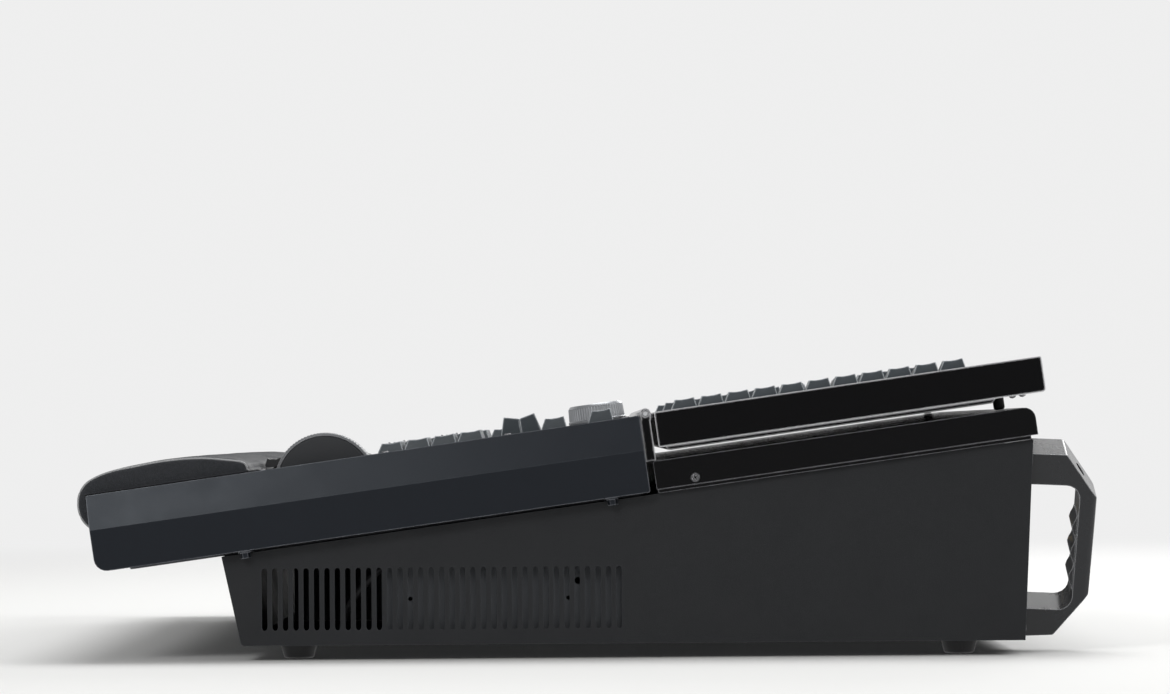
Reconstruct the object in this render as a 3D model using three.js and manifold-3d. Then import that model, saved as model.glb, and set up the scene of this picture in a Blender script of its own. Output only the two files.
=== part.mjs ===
// A stage lighting control console with its screen wing folded down over the rear cover.
// Millimetres, +Z up. The operator stands at -Y, so +X is on the operator's right.
import * as THREE from "three";
import { mergeVertices } from "three/addons/utils/BufferGeometryUtils.js";
import Module from "manifold-3d";

const wasm = await Module();
wasm.setup();

// Driving dimensions

const degree = Math.PI / 180;
const overrun = 5;
const weldGap = 0.0001;
const arcStep = 22 * degree;

// The desk slopes up from the front. Its own frame starts at the middle of its front top edge,
// runs back along the slope and stands square to the desk top.
const deckTilt = 7.8 * degree;
const deckFrontHeight = 116.7;

// The desk is as long as its pad, its wheel and its right-hand column of keys need: the bank of
// number keys, a pair of rocker keys, and two single keys with the panel's margin behind them.
const palmReach = 114.6;
const panelGap = 1.9;
const panelFront = palmReach + panelGap;
const keyPitch = 19.05;
const keyWidth = 17.85;
const bankInset = 97.1;
const bankRowCount = 4;
const rockerGap = 36.4;
const rockerDepth = 14.2;
const edgeKeyGap = 33.425;
const edgeKeyInset = 23;
const panelRearMargin = 4;
const fitGap = 0.3;
const bankAlong = panelFront + bankInset;
const rockerAlong = bankAlong + (bankRowCount - 1) * keyPitch + rockerGap;
const nearEdgeKey = rockerAlong + rockerDepth + fitGap + keyWidth / 2;
const farEdgeKey = nearEdgeKey + edgeKeyGap;
const panelRear = farEdgeKey + edgeKeyInset;
const deskLength = panelRear + panelRearMargin;

const deskTopHalf = 393;
const creaseFlare = 7;
const bottomTuck = 1;
const deskCreaseHalf = deskTopHalf + creaseFlare;
const deskBottomHalf = deskCreaseHalf - bottomTuck;
const deskCreaseDepth = 24.5;
const deskDepth = 54;
const deskNoseRadius = 9;
const deskEdgeRadius = 1.5;
const deskWall = 2;
const deskFloor = 1.2;
const deskSkin = 4;

const panelMargin = 8;
const panelHalf = deskTopHalf - panelMargin;
const panelThickness = 2;
const panelLedge = 8;

const bedThickness = 1.4;
const bedMargin = 18;
const bedHalf = deskTopHalf - bedMargin;
const bedFront = 21;

const baseMargin = 6;
const baseHalf = deskTopHalf - baseMargin;
const baseWall = 1.5;
const baseFrontAlong = 87.4;
const baseFrontSetback = 13.6;
const baseRearSetback = 6.5;
const baseCornerRadius = 3;
const baseFlange = 10;

const ventCount = 35;
const ventPitch = 7.3;
const ventWidth = 3.8;
const ventLow = 10.5;
const ventHigh = 54.5;
const ventInset = 16.4;
const ventArcSteps = 3;

const footHeight = 10.5;
const footTopRadius = 12.65;
const footBottomRadius = 10.75;
const footBoreRadius = 3.5;
const footFrontInset = 37.5;
const footRearInset = 43;
const footSideInset = 45;
const footSides = 16;

const coverMargin = 1;
const coverHalf = deskTopHalf - coverMargin;
const coverGap = 4.8;
const coverFrontAlong = deskLength + coverGap;
const coverTopDepth = 33;
const coverBottomDepth = 53;
const coverRearRadius = 8;
const coverEdgeRadius = 2;
const coverWall = 1.6;

const pivotGap = 4.5;
const pivotAlong = deskLength + pivotGap;
const pivotHeight = 0.7;
const barrelRadius = 3.9;
const pinRadius = 1.9;
const hingeMargin = 6;
const hingeHalf = deskTopHalf - hingeMargin;
const knuckleCount = 9;

const wingMargin = 3;
const wingHalf = deskTopHalf - wingMargin;
const wingNear = 6;
const wingFar = 279.7;
const wingFront = 0.3;
const wingThickness = 25;
const wingWall = 2.5;
const wingTipRadius = 2.5;

const wingOverhang = 10;
const coverOverhang = 3.5;
const coverRearAlong = pivotAlong + wingFar - wingOverhang;
const baseRearAlong = coverRearAlong - coverOverhang;

const keyTravel = 2;
const wingKeyCount = 11;
const wingKeyInset = 27.7;
const wingColumnInset = 20;
const wingColumn = wingHalf - wingColumnInset;

const screenInner = 22;
const screenOuter = wingColumn - screenInner;
const screenNear = 22;
const screenFar = 262;

const wheelRadius = 36.4;
const wheelWidth = 25;
const wheelInset = 33;
const wheelColumn = panelHalf - wheelInset;
const wheelFrontInset = 48.9;
const wheelAlong = panelFront + wheelFrontInset;
const wheelDepth = 16.1;

const handleWidth = 32;
const handleLean = 20 * degree;
const handleReach = 48;

// Places that follow from the driving dimensions

const baseTopDepth = deskDepth + fitGap + bedThickness + fitGap;
const deckOrigin = new THREE.Vector2(0, deckFrontHeight);
const frontTop = deckPoint(baseFrontAlong, -baseTopDepth);
const rearTop = deckPoint(baseRearAlong, -baseTopDepth);
const frontBottom = new THREE.Vector2(frontTop.x + baseFrontSetback, footHeight);
const rearBottom = new THREE.Vector2(rearTop.x - baseRearSetback, footHeight);

const finishes = {
  powderCoat: { color: 0x2b2e33, roughness: 0.62, metalness: 0.2 },
  blackGloss: { color: 0x08080a, roughness: 0.22, metalness: 0.1 },
  keyPlastic: { color: 0x3d4650, roughness: 0.55, metalness: 0 },
  darkPlastic: { color: 0x1a1b1e, roughness: 0.5, metalness: 0 },
  leatherette: { color: 0x26292d, roughness: 0.7, metalness: 0 },
  rubber: { color: 0x1c1c1d, roughness: 0.85, metalness: 0 },
  steel: { color: 0xb4b7bb, roughness: 0.3, metalness: 1 },
  silver: { color: 0xd6d8db, roughness: 0.25, metalness: 1 },
  zincSheet: { color: 0x8d9196, roughness: 0.45, metalness: 0.9 },
  screenGlass: { color: 0x050607, roughness: 0.08, metalness: 0 },
  handleCoat: { color: 0x33363b, roughness: 0.45, metalness: 0.3 },
  ballResin: { color: 0x101114, roughness: 0.15, metalness: 0 },
};

// A point of the desk's frame, along the slope and square to it, as its place along Y and Z.
function deckPoint(along, up) {
  return new THREE.Vector2(along, up).rotateAround(new THREE.Vector2(), deckTilt).add(deckOrigin);
}

// Solids from geometry, and the joins and cuts between them

function solidOf(geometry) {
  const bare = new THREE.BufferGeometry();
  const flat = geometry.index ? geometry.toNonIndexed() : geometry;
  bare.setAttribute("position", flat.getAttribute("position").clone());
  const merged = mergeVertices(bare, weldGap);
  const triVerts = new Uint32Array(merged.index.array);
  const vertProperties = merged.attributes.position.array;
  return new wasm.Manifold(new wasm.Mesh({ numProp: 3, vertProperties, triVerts }));
}

function geometryOf(solid) {
  const mesh = solid.getMesh();
  const geometry = new THREE.BufferGeometry();
  const places = new THREE.BufferAttribute(new Float32Array(mesh.vertProperties), 3);
  geometry.setAttribute("position", places);
  geometry.setIndex(new THREE.BufferAttribute(new Uint32Array(mesh.triVerts), 1));
  geometry.computeVertexNormals();
  return geometry;
}

function join(...pieces) {
  return geometryOf(pieces.map(solidOf).reduce((whole, next) => whole.add(next)));
}

function cut(body, ...tools) {
  return geometryOf(tools.map(solidOf).reduce((whole, next) => whole.subtract(next), solidOf(body)));
}

function common(first, second) {
  return geometryOf(solidOf(first).intersect(solidOf(second)));
}

// Corners written as [across, up, radius], each rounded by its own radius.
function roundedPoints(corners) {
  return corners.flatMap(([x, y, radius = 0], index) => {
    const corner = new THREE.Vector2(x, y);
    if (radius === 0) return [corner];
    const before = corners[(index + corners.length - 1) % corners.length];
    const after = corners[(index + 1) % corners.length];
    const back = new THREE.Vector2(before[0], before[1]).sub(corner).normalize();
    const ahead = new THREE.Vector2(after[0], after[1]).sub(corner).normalize();
    const half = Math.acos(back.dot(ahead)) / 2;
    const middle = back.clone().add(ahead).setLength(radius / Math.sin(half));
    const centre = corner.clone().add(middle);
    const start = corner.clone().addScaledVector(back, radius / Math.tan(half)).sub(centre);
    const end = corner.clone().addScaledVector(ahead, radius / Math.tan(half)).sub(centre);
    const sweep = Math.atan2(start.cross(end), start.dot(end));
    const steps = Math.max(2, Math.ceil(Math.abs(sweep) / arcStep));
    return Array.from({ length: steps + 1 }, (_, step) =>
      start.clone().rotateAround(new THREE.Vector2(), (sweep * step) / steps).add(centre),
    );
  });
}

function outline(corners) {
  return new THREE.Shape(roundedPoints(corners));
}

function extruded(shape, depth) {
  return new THREE.ExtrudeGeometry(shape, { depth, bevelEnabled: false, steps: 1 });
}

// An outline drawn along Y and Z, run along X from one place to another.
function prismX(shape, low, high) {
  const geometry = extruded(shape, high - low);
  const alongX = new THREE.Matrix4().makeBasis(
    new THREE.Vector3(0, 1, 0),
    new THREE.Vector3(0, 0, 1),
    new THREE.Vector3(1, 0, 0),
  );
  return geometry.applyMatrix4(alongX).translate(low, 0, 0);
}

// An outline drawn along X and Z, run along Y.
function prismY(shape, low, high) {
  const geometry = extruded(shape, high - low);
  const alongY = new THREE.Matrix4().makeBasis(
    new THREE.Vector3(1, 0, 0),
    new THREE.Vector3(0, 0, 1),
    new THREE.Vector3(0, -1, 0),
  );
  return geometry.applyMatrix4(alongY).translate(0, high, 0);
}

// An outline drawn along X and Y, run along Z.
function prismZ(shape, low, high) {
  return extruded(shape, high - low).translate(0, 0, low);
}

function block([lowX, highX], [lowY, highY], [lowZ, highZ]) {
  const geometry = new THREE.BoxGeometry(highX - lowX, highY - lowY, highZ - lowZ);
  return geometry.translate((lowX + highX) / 2, (lowY + highY) / 2, (lowZ + highZ) / 2);
}

function rectangle([lowX, highX], [lowY, highY], radius = 0) {
  return [
    [lowX, lowY, radius],
    [highX, lowY, radius],
    [highX, highY, radius],
    [lowX, highY, radius],
  ];
}

function rodX(radius, [low, high], y, z, sides = 16) {
  const geometry = new THREE.CylinderGeometry(radius, radius, high - low, sides);
  return geometry.rotateZ(-Math.PI / 2).translate((low + high) / 2, y, z);
}

function rodY(radius, x, [low, high], z, sides = 16) {
  const geometry = new THREE.CylinderGeometry(radius, radius, high - low, sides);
  return geometry.translate(x, (low + high) / 2, z);
}

function rodZ(radius, x, y, [low, high], sides = 16) {
  const geometry = new THREE.CylinderGeometry(radius, radius, high - low, sides);
  return geometry.rotateX(Math.PI / 2).translate(x, y, (low + high) / 2);
}

// A profile of [radius, height] points turned about Z.
function turned(profile, sides) {
  const points = profile.map(([radius, height]) => new THREE.Vector2(radius, height));
  return new THREE.LatheGeometry(points, sides).rotateX(Math.PI / 2);
}

function piece(name, geometry, finish) {
  const mesh = new THREE.Mesh(geometry, new THREE.MeshStandardMaterial(finishes[finish]));
  mesh.name = name;
  return mesh;
}

// Base pieces

// The base side seen along X, moved inwards by an inset and cut off above the given height.
function baseSide(inset, topRise) {
  const up = new THREE.Vector2(-Math.sin(deckTilt), Math.cos(deckTilt)).multiplyScalar(topRise);
  const corner = Math.max(baseCornerRadius - inset, 0);
  return outline([
    [frontTop.x + up.x + inset, frontTop.y + up.y],
    [frontBottom.x + inset, frontBottom.y + inset, corner],
    [rearBottom.x - inset, rearBottom.y + inset],
    [rearTop.x + up.x - inset, rearTop.y + up.y],
  ]);
}

// One row of round-ended slots that runs through both side walls.
function ventSlots() {
  const end = ventWidth / 2;
  const first = frontBottom.x + ventInset;
  const low = footHeight + ventLow;
  const high = footHeight + ventHigh;
  const arc = (centre, from) =>
    Array.from({ length: ventArcSteps + 1 }, (_, step) => {
      const turn = from + (step * Math.PI) / ventArcSteps;
      return [end * Math.cos(turn), centre + end * Math.sin(turn)];
    });
  const slot = outline([...arc(high - end, 0), ...arc(low + end, Math.PI)]);
  return Array.from({ length: ventCount }, (_, index) =>
    prismX(slot, -baseHalf - overrun, baseHalf + overrun).translate(0, first + index * ventPitch, 0),
  );
}

// Folded sheet: floor, front and both sides in one, with a rim turned in along the top of each side.
function baseTray() {
  const shell = prismX(baseSide(0, 0), -baseHalf, baseHalf);
  const innerHalf = baseHalf - baseWall;
  const hollowSide = outline([
    [frontTop.x + baseWall, frontTop.y - baseWall],
    [frontBottom.x + baseWall, frontBottom.y + baseWall, baseWall],
    [rearBottom.x + overrun, rearBottom.y + baseWall],
    [rearTop.x + overrun, rearTop.y - baseWall],
  ]);
  const hollow = prismX(hollowSide, -innerHalf, innerHalf);
  const mouth = outline([
    [frontTop.x + baseFlange, frontTop.y - overrun],
    [rearTop.x + overrun, rearTop.y - overrun],
    [rearTop.x + overrun, rearTop.y + overrun],
    [frontTop.x + baseFlange, frontTop.y + overrun],
  ]);
  const mouthHalf = innerHalf - baseFlange;
  return cut(shell, hollow, prismX(mouth, -mouthHalf, mouthHalf), ...ventSlots());
}

const socketSizes = {
  plateWall: 1.5,
  plateGap: fitGap,
  boardThickness: 1.6,
  boardBack: 26,
  boardLow: 30,
  boardHigh: 112,
  roundPitch: 40,
  roundRadius: 12,
  roundInsert: 8.6,
  roundGroove: 10.4,
  roundCount: 6,
  roundHeight: 88,
  roundGrooveDepth: 9,
  netWidth: 11.8,
  netHeight: 8.2,
  netDepth: 13,
  netWall: 2.4,
  netCount: 3,
  netPitch: 26,
  netHeightAt: 52,
  proud: 0.6,
  boardInner: 40,
  inletInset: 125,
  inletZ: 60,
  inletHalfWidth: 13.7,
  inletHalfHeight: 10,
  inletFlangeHalfWidth: 25,
  inletFlangeHalfHeight: 13,
  inletFlange: 2.5,
  inletDepth: 26,
  inletWall: 2,
  bladeWidth: 2,
  bladeHeight: 4,
  bladeShort: 5.5,
  bladeSpread: 7,
  bladeRise: 2,
  exhaustWidth: 3.8,
  exhaustLow: 34,
  exhaustHigh: 96,
  exhaustPitch: 9,
  exhaustInner: 70,
};

const exhaustCount = 12;
const socketSides = 16;
const insertSides = 12;
const inletX = -baseHalf + socketSizes.inletInset;

// The rear panel leans with the rear edge of the sides, so it and its sockets share one leaning
// frame: X across, Y outwards through the panel, Z up along it.
function rearFrame() {
  const frame = new THREE.Group();
  frame.position.set(0, rearBottom.x, rearBottom.y);
  frame.rotation.x = -Math.atan2(rearTop.x - rearBottom.x, rearTop.y - rearBottom.y);
  return frame;
}

const rearHeight = Math.hypot(rearTop.x - rearBottom.x, rearTop.y - rearBottom.y);

function roundSocketPlaces() {
  const s = socketSizes;
  return Array.from({ length: s.roundCount }, (_, index) => s.boardInner + index * s.roundPitch);
}

function netSocketPlaces() {
  const s = socketSizes;
  return Array.from({ length: s.netCount }, (_, index) => s.boardInner + index * s.netPitch);
}

// Flat sheet between the sides, cut for the sockets, the inlet and a row of exhaust slots.
function rearPanel() {
  const s = socketSizes;
  const half = baseHalf - baseWall - s.plateGap;
  const low = baseWall + s.plateGap;
  const high = rearHeight - baseWall * 2 - s.plateGap;
  const sheet = outline(rectangle([-half, half], [low, high]));
  const plate = prismY(sheet, -s.plateWall, 0);
  const rounds = roundSocketPlaces().map((x) =>
    rodY(s.roundRadius + fitGap, x, [-overrun, overrun], s.roundHeight, socketSides),
  );
  const nets = netSocketPlaces().map((x) => {
    const halfWidth = s.netWidth / 2 + s.netWall + fitGap;
    const halfHeight = s.netHeight / 2 + s.netWall + fitGap;
    return block(
      [x - halfWidth, x + halfWidth],
      [-overrun, overrun],
      [s.netHeightAt - halfHeight, s.netHeightAt + halfHeight],
    );
  });
  const exhausts = Array.from({ length: exhaustCount }, (_, index) => {
    const x = -s.exhaustInner - index * s.exhaustPitch;
    return block(
      [x - s.exhaustWidth / 2, x + s.exhaustWidth / 2],
      [-overrun, overrun],
      [s.exhaustLow, s.exhaustHigh],
    );
  });
  const inlet = block(
    [inletX - s.inletHalfWidth - fitGap, inletX + s.inletHalfWidth + fitGap],
    [-overrun, overrun],
    [s.inletZ - s.inletHalfHeight - fitGap, s.inletZ + s.inletHalfHeight + fitGap],
  );
  return cut(plate, ...rounds, ...nets, ...exhausts, inlet);
}

// Circuit board that stands behind the rear panel and carries the sockets that show through it.
function socketBoard() {
  const s = socketSizes;
  const lastX = s.boardInner + (s.roundCount - 1) * s.roundPitch + s.roundPitch / 2;
  const boardY = [-s.boardBack - s.boardThickness, -s.boardBack];
  const board = block([s.boardInner - s.roundPitch / 2, lastX], boardY, [s.boardLow, s.boardHigh]);
  const bodyY = [-s.boardBack - s.boardThickness / 2, s.proud];
  const barrels = roundSocketPlaces().map((x) =>
    rodY(s.roundRadius, x, bodyY, s.roundHeight, socketSides),
  );
  const grooves = roundSocketPlaces().map((x) => {
    const ring = [s.proud - s.roundGrooveDepth, s.proud + overrun];
    const outer = rodY(s.roundGroove, x, ring, s.roundHeight, socketSides);
    const insertTo = [-s.roundGrooveDepth, 0];
    return cut(outer, rodY(s.roundInsert, x, insertTo, s.roundHeight, insertSides));
  });
  const halfWidth = s.netWidth / 2;
  const halfHeight = s.netHeight / 2;
  const housings = netSocketPlaces().map((x) =>
    block(
      [x - halfWidth - s.netWall, x + halfWidth + s.netWall],
      bodyY,
      [s.netHeightAt - halfHeight - s.netWall, s.netHeightAt + halfHeight + s.netWall],
    ),
  );
  const ports = netSocketPlaces().map((x) =>
    block(
      [x - halfWidth, x + halfWidth],
      [s.proud - s.netDepth, s.proud + overrun],
      [s.netHeightAt - halfHeight, s.netHeightAt + halfHeight],
    ),
  );
  return cut(join(board, ...barrels, ...housings), ...grooves, ...ports);
}

// Mains inlet: a flanged shell with three blades that stop short of its mouth.
function powerInlet() {
  const s = socketSizes;
  const x = [inletX - s.inletHalfWidth, inletX + s.inletHalfWidth];
  const z = [s.inletZ - s.inletHalfHeight, s.inletZ + s.inletHalfHeight];
  const face = s.plateGap + s.inletFlange;
  const flange = outline(
    rectangle(
      [inletX - s.inletFlangeHalfWidth, inletX + s.inletFlangeHalfWidth],
      [s.inletZ - s.inletFlangeHalfHeight, s.inletZ + s.inletFlangeHalfHeight],
      s.inletFlange,
    ),
  );
  const shell = join(block(x, [-s.inletDepth, face], z), prismY(flange, s.plateGap, face));
  const chamfer = s.inletHalfHeight / 2;
  const inside = [x[0] + s.inletWall, x[1] - s.inletWall, z[0] + s.inletWall, z[1] - s.inletWall];
  const mouth = outline([
    [inside[0], inside[2]],
    [inside[1], inside[2]],
    [inside[1], inside[3] - chamfer],
    [inside[1] - chamfer, inside[3]],
    [inside[0] + chamfer, inside[3]],
    [inside[0], inside[3] - chamfer],
  ]);
  const hollow = prismY(mouth, -s.inletDepth + s.inletWall, face + overrun);
  const bladeY = [-s.inletDepth + s.inletWall / 2, face - s.bladeShort];
  const blades = [-1, 0, 1].map((side) => {
    const middle = inletX + side * s.bladeSpread;
    const rise = s.inletZ + (side === 0 ? s.bladeRise : -s.bladeRise);
    return block(
      [middle - s.bladeWidth / 2, middle + s.bladeWidth / 2],
      bladeY,
      [rise - s.bladeHeight / 2, rise + s.bladeHeight / 2],
    );
  });
  return join(cut(shell, hollow), ...blades);
}

const chassisSizes = {
  sheet: 1.2,
  sideGap: 12,
  frontInset: 101,
  length: 330,
  height: 62,
  rim: 14,
  baffleInset: 6,
  baffleOverlap: 12,
  smallHole: 1.6,
  largeHole: 2.6,
};

const chassisHoleSides = 10;

// Holes through the chassis sides, as shares of its length and height.
const chassisHoleShares = [
  { alongShare: 0.0515, upShare: 0.484, large: false },
  { alongShare: 0.388, upShare: 0.484, large: false },
  { alongShare: 0.409, upShare: 0.677, large: true },
];

// Grey inner chassis that carries the computer and the power supply. It shows through the rear
// slots. A baffle runs forward from its middle and parts the air of the two sides.
function innerChassis() {
  const c = chassisSizes;
  const half = baseHalf - baseWall - c.sideGap;
  const front = frontBottom.x + c.frontInset;
  const low = footHeight + baseWall + fitGap;
  const body = block([-half, half], [front, front + c.length], [low, low + c.height]);
  const trough = block(
    [-half + c.sheet, half - c.sheet],
    [front - overrun, front + c.length + overrun],
    [low + c.sheet, low + c.height - c.sheet],
  );
  const mouth = block(
    [-half + c.rim, half - c.rim],
    [front - overrun, front + c.length + overrun],
    [low + c.height - overrun, low + c.height + overrun],
  );
  const holes = chassisHoleShares.map(({ alongShare, upShare, large }) => {
    const reach = large ? c.largeHole : c.smallHole;
    const along = front + alongShare * c.length;
    const span = [-half - overrun, half + overrun];
    return rodX(reach, span, along, low + upShare * c.height, chassisHoleSides);
  });
  const baffle = block(
    [-c.sheet / 2, c.sheet / 2],
    [frontBottom.x + c.baffleInset + baseFrontSetback / 2, front + c.baffleOverlap],
    [low, low + c.height],
  );
  return join(cut(body, trough, mouth, ...holes), baffle);
}

// Inner lead from the foot of the front wall up to the inner chassis, seen through the open slots.
const leadRadius = 2.6;
const leadSides = 8;
const leadSteps = 18;

// The lead's route: how far in from the side, back from the front wall's foot, and up from it.
const leadRoute = [
  [47, 68, 2.1],
  [47, 68.5, 12],
  [37, 72, 23],
  [25, 80, 35],
  [20, 90, 46],
  [21, 98, 54],
  [29, 106, 60],
  [43, 114, 64],
  [57, 124, 66.6],
  [69, 136, 66.6],
];

function innerLead() {
  const places = leadRoute.map(
    ([inset, along, up]) =>
      new THREE.Vector3(baseHalf - inset, frontBottom.x + along, frontBottom.y + up),
  );
  const circle = outline(
    Array.from({ length: leadSides }, (_, side) => {
      const turn = (side / leadSides) * Math.PI * 2;
      return [leadRadius * Math.cos(turn), leadRadius * Math.sin(turn)];
    }),
  );
  const extrudePath = new THREE.CatmullRomCurve3(places);
  return new THREE.ExtrudeGeometry(circle, { extrudePath, steps: leadSteps, bevelEnabled: false });
}

// Turned rubber foot with a screw recess underneath.
function foot() {
  const rimRadius = footBottomRadius - baseWall;
  const top = footHeight - fitGap;
  return turned(
    [
      [0, footBoreRadius],
      [footBoreRadius, footBoreRadius],
      [footBoreRadius, 0],
      [rimRadius, 0],
      [footBottomRadius, baseWall / 2],
      [footTopRadius, top - baseWall],
      [footTopRadius, top],
      [0, top],
    ],
    footSides,
  );
}

function feet() {
  const places = [frontBottom.x + footFrontInset, rearBottom.x - footRearInset];
  const side = baseHalf - footSideInset;
  const names = ["foot_front_left", "foot_front_right", "foot_rear_left", "foot_rear_right"];
  return names.map((name, index) => {
    const mesh = piece(name, foot(), "rubber");
    mesh.position.set(index % 2 === 0 ? -side : side, places[index < 2 ? 0 : 1], 0);
    return mesh;
  });
}

// Carrying handle. Its outline is drawn from the rear panel's face backwards, and it leans out at the top.
const handleSizes = {
  rootLow: 0.6,
  rootHigh: 139,
  lowFlat: 24,
  lowHeight: 2.4,
  elbowLow: 34,
  elbowReach: 47,
  highFlat: 24.5,
  elbowHigh: 106.7,
  cornerRadius: 3,
  edgeRadius: 4.5,
  openLow: 22,
  openHigh: 116,
  openReach: 35.5,
  openRadius: 10,
  ridgeCount: 3,
  ridgePitch: 18.7,
  ridgeLow: 36.3,
  ridgeRise: 3,
  ridgeFoot: 0.5,
  ridgeMargin: 4,
  ridgeRoot: 1,
  screwRadius: 5.6,
  screwDepth: 6,
  sideInset: 5,
};

const ridgeSteps = 6;

function handleSideOutline() {
  const h = handleSizes;
  return outline([
    [0, h.rootLow],
    [h.lowFlat, h.lowHeight, h.cornerRadius],
    [h.elbowReach, h.elbowLow, h.cornerRadius],
    [handleReach, h.elbowHigh, h.cornerRadius],
    [h.highFlat, h.rootHigh, h.cornerRadius],
    [0, h.rootHigh],
  ]);
}

function handleOpening() {
  const h = handleSizes;
  return outline([
    [-overrun, h.openLow],
    [h.openReach, h.openLow, h.openRadius],
    [h.openReach, h.openHigh, h.openRadius],
    [-overrun, h.openHigh],
  ]);
}

// The grip's finger ridges: waves along its inner side, with a hollow for each finger between them.
function fingerRidges() {
  const h = handleSizes;
  const length = h.ridgeCount * h.ridgePitch;
  const waves = Array.from({ length: h.ridgeCount * ridgeSteps + 1 }, (_, step) => {
    const share = step / ridgeSteps;
    const swell = (1 - Math.cos(share * 2 * Math.PI)) / 2;
    return [h.openReach - h.ridgeFoot - swell * h.ridgeRise, h.ridgeLow + share * h.ridgePitch];
  });
  return outline([
    [h.openReach + h.ridgeRoot, h.ridgeLow],
    ...waves,
    [h.openReach + h.ridgeRoot, h.ridgeLow + length],
  ]);
}

// A section from above that rounds the grip's outer edges.
function handleTopOutline() {
  const half = handleWidth / 2;
  return outline([
    [-half, -overrun],
    [half, -overrun],
    [half, handleReach, handleSizes.edgeRadius],
    [-half, handleReach, handleSizes.edgeRadius],
  ]);
}

function handle() {
  const h = handleSizes;
  const half = handleWidth / 2;
  const body = prismX(handleSideOutline(), -half, half);
  const rounded = common(body, prismZ(handleTopOutline(), 0, h.rootHigh + overrun));
  const diagonal = Math.atan2(handleReach - h.highFlat, h.rootHigh - h.elbowHigh);
  const screw = rodZ(h.screwRadius, 0, 0, [-h.screwDepth, overrun])
    .rotateX(diagonal - Math.PI / 2)
    .translate(0, (handleReach + h.highFlat) / 2, (h.rootHigh + h.elbowHigh) / 2);
  const bare = cut(rounded, prismX(handleOpening(), -half - overrun, half + overrun), screw);
  return join(bare, prismX(fingerRidges(), h.ridgeMargin - half, half - h.ridgeMargin));
}

// The handle leans about the line where its lower root meets the panel, so its top stands out
// nearly as far as the casing's side.
function handlePiece(name, side) {
  const half = handleWidth / 2;
  const mesh = piece(name, handle().rotateY(side * handleLean), "handleCoat");
  const spread = handleSizes.rootHigh * Math.sin(handleLean) + half * Math.cos(handleLean);
  const across = baseHalf - handleSizes.sideInset - spread;
  mesh.position.set(side * across, fitGap, half * Math.sin(handleLean));
  return mesh;
}

// Desk pieces, in the desk's own frame

const screwSizes = {
  washerRadius: 5.25,
  washer: 1.2,
  headRadius: 3.7,
  head: 4,
  inset: 6.4,
  frontInset: 17.5,
  rearInset: 27,
};

const washerSides = 16;
const headSides = 6;

// The desk's body, shrunk by an inset on every side: a section with a crease along each side,
// and a side outline with a rounded lower nose.
function deskForm(inset, floor, skin) {
  const section = outline([
    [-deskTopHalf + inset, -skin],
    [-deskCreaseHalf + inset, -deskCreaseDepth],
    [-deskBottomHalf + inset, -deskDepth + floor],
    [deskBottomHalf - inset, -deskDepth + floor],
    [deskCreaseHalf - inset, -deskCreaseDepth],
    [deskTopHalf - inset, -skin],
  ]);
  const edge = inset === 0 ? deskEdgeRadius : 0;
  const side = outline([
    [inset, -skin, edge],
    [inset, -deskDepth + floor, deskNoseRadius - inset],
    [deskLength - inset, -deskDepth + floor, edge],
    [deskLength - inset, -skin, edge],
  ]);
  return common(
    prismY(section, -overrun, deskLength + overrun),
    prismX(side, -deskCreaseHalf - overrun, deskCreaseHalf + overrun),
  );
}

function deskScrews() {
  const s = screwSizes;
  const washerTo = -deskDepth - s.washer;
  const places = [baseFrontAlong + s.frontInset, deskLength - s.rearInset];
  return places.flatMap((along) =>
    [-1, 1].flatMap((side) => {
      const x = side * (deskBottomHalf - s.inset);
      return [
        rodZ(s.washerRadius, x, along, [washerTo, -deskDepth + deskFloor / 2], washerSides),
        rodZ(s.headRadius, x, along, [washerTo - s.head, washerTo + s.washer / 2], headSides),
      ];
    }),
  );
}

// Folded and welded desk housing with a stepped opening for the control panel.
function deskTub() {
  const cavity = deskForm(deskWall, deskFloor, deskSkin);
  const seat = block(
    [-panelHalf - fitGap, panelHalf + fitGap],
    [panelFront - fitGap, panelRear + fitGap],
    [-panelThickness - fitGap, overrun],
  );
  const mouth = block(
    [-panelHalf + panelLedge, panelHalf - panelLedge],
    [panelFront - fitGap, panelRear - panelLedge / 2],
    [-deskSkin - overrun, overrun],
  );
  return cut(join(deskForm(0, 0, 0), ...deskScrews()), cavity, seat, mouth);
}

// Thin bed plate on which the desk sits on the base.
function bedPlate() {
  const top = -deskDepth - fitGap;
  const plate = outline(
    rectangle([-bedHalf, bedHalf], [bedFront, deskLength], deskNoseRadius),
  );
  return prismZ(plate, top - bedThickness, top);
}

const faderSizes = {
  travel: 100,
  slotInset: 41.5,
  masterInset: 7.8,
  slotWidth: 3,
  capWidth: 12,
  capLength: 17,
  capHeight: 8,
  capGap: 1.2,
  capWaist: 2.2,
  ridgeCount: 3,
  stemWidth: 2.4,
  stemLength: 6,
  stemDepth: 8,
  trackWall: 4,
  trackDepth: 11,
};

// Eight faders share the panel's left part, and two masters stand beside the trackball. Each
// cap rests at its own share of the travel.
const faderInset = 35;
const lastFaderShare = 0.2909;
const faderRestShares = [0.42, 0.42, 0.84, 0, 0.42, 0, 0.84, 0.42];
const faderFirst = -panelHalf + faderInset;
const faderPitch = (-panelHalf * lastFaderShare - faderFirst) / (faderRestShares.length - 1);

const faderColumns = faderRestShares.map((share, index) => ({
  name: `fader_${index + 1}`,
  x: faderFirst + index * faderPitch,
  start: panelFront + faderSizes.slotInset,
  rest: share * faderSizes.travel,
}));

const trackballInset = 100;
const masterGap = 30;
const masterPitch = 26;
const trackballColumn = wheelColumn - trackballInset;
const masterColumns = ["master_fader_b", "master_fader_a"].map((name, index) => ({
  name,
  x: trackballColumn - masterGap - index * masterPitch,
  start: panelFront + faderSizes.masterInset,
  rest: 0,
}));
const allFaders = [...faderColumns, ...masterColumns];

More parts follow.
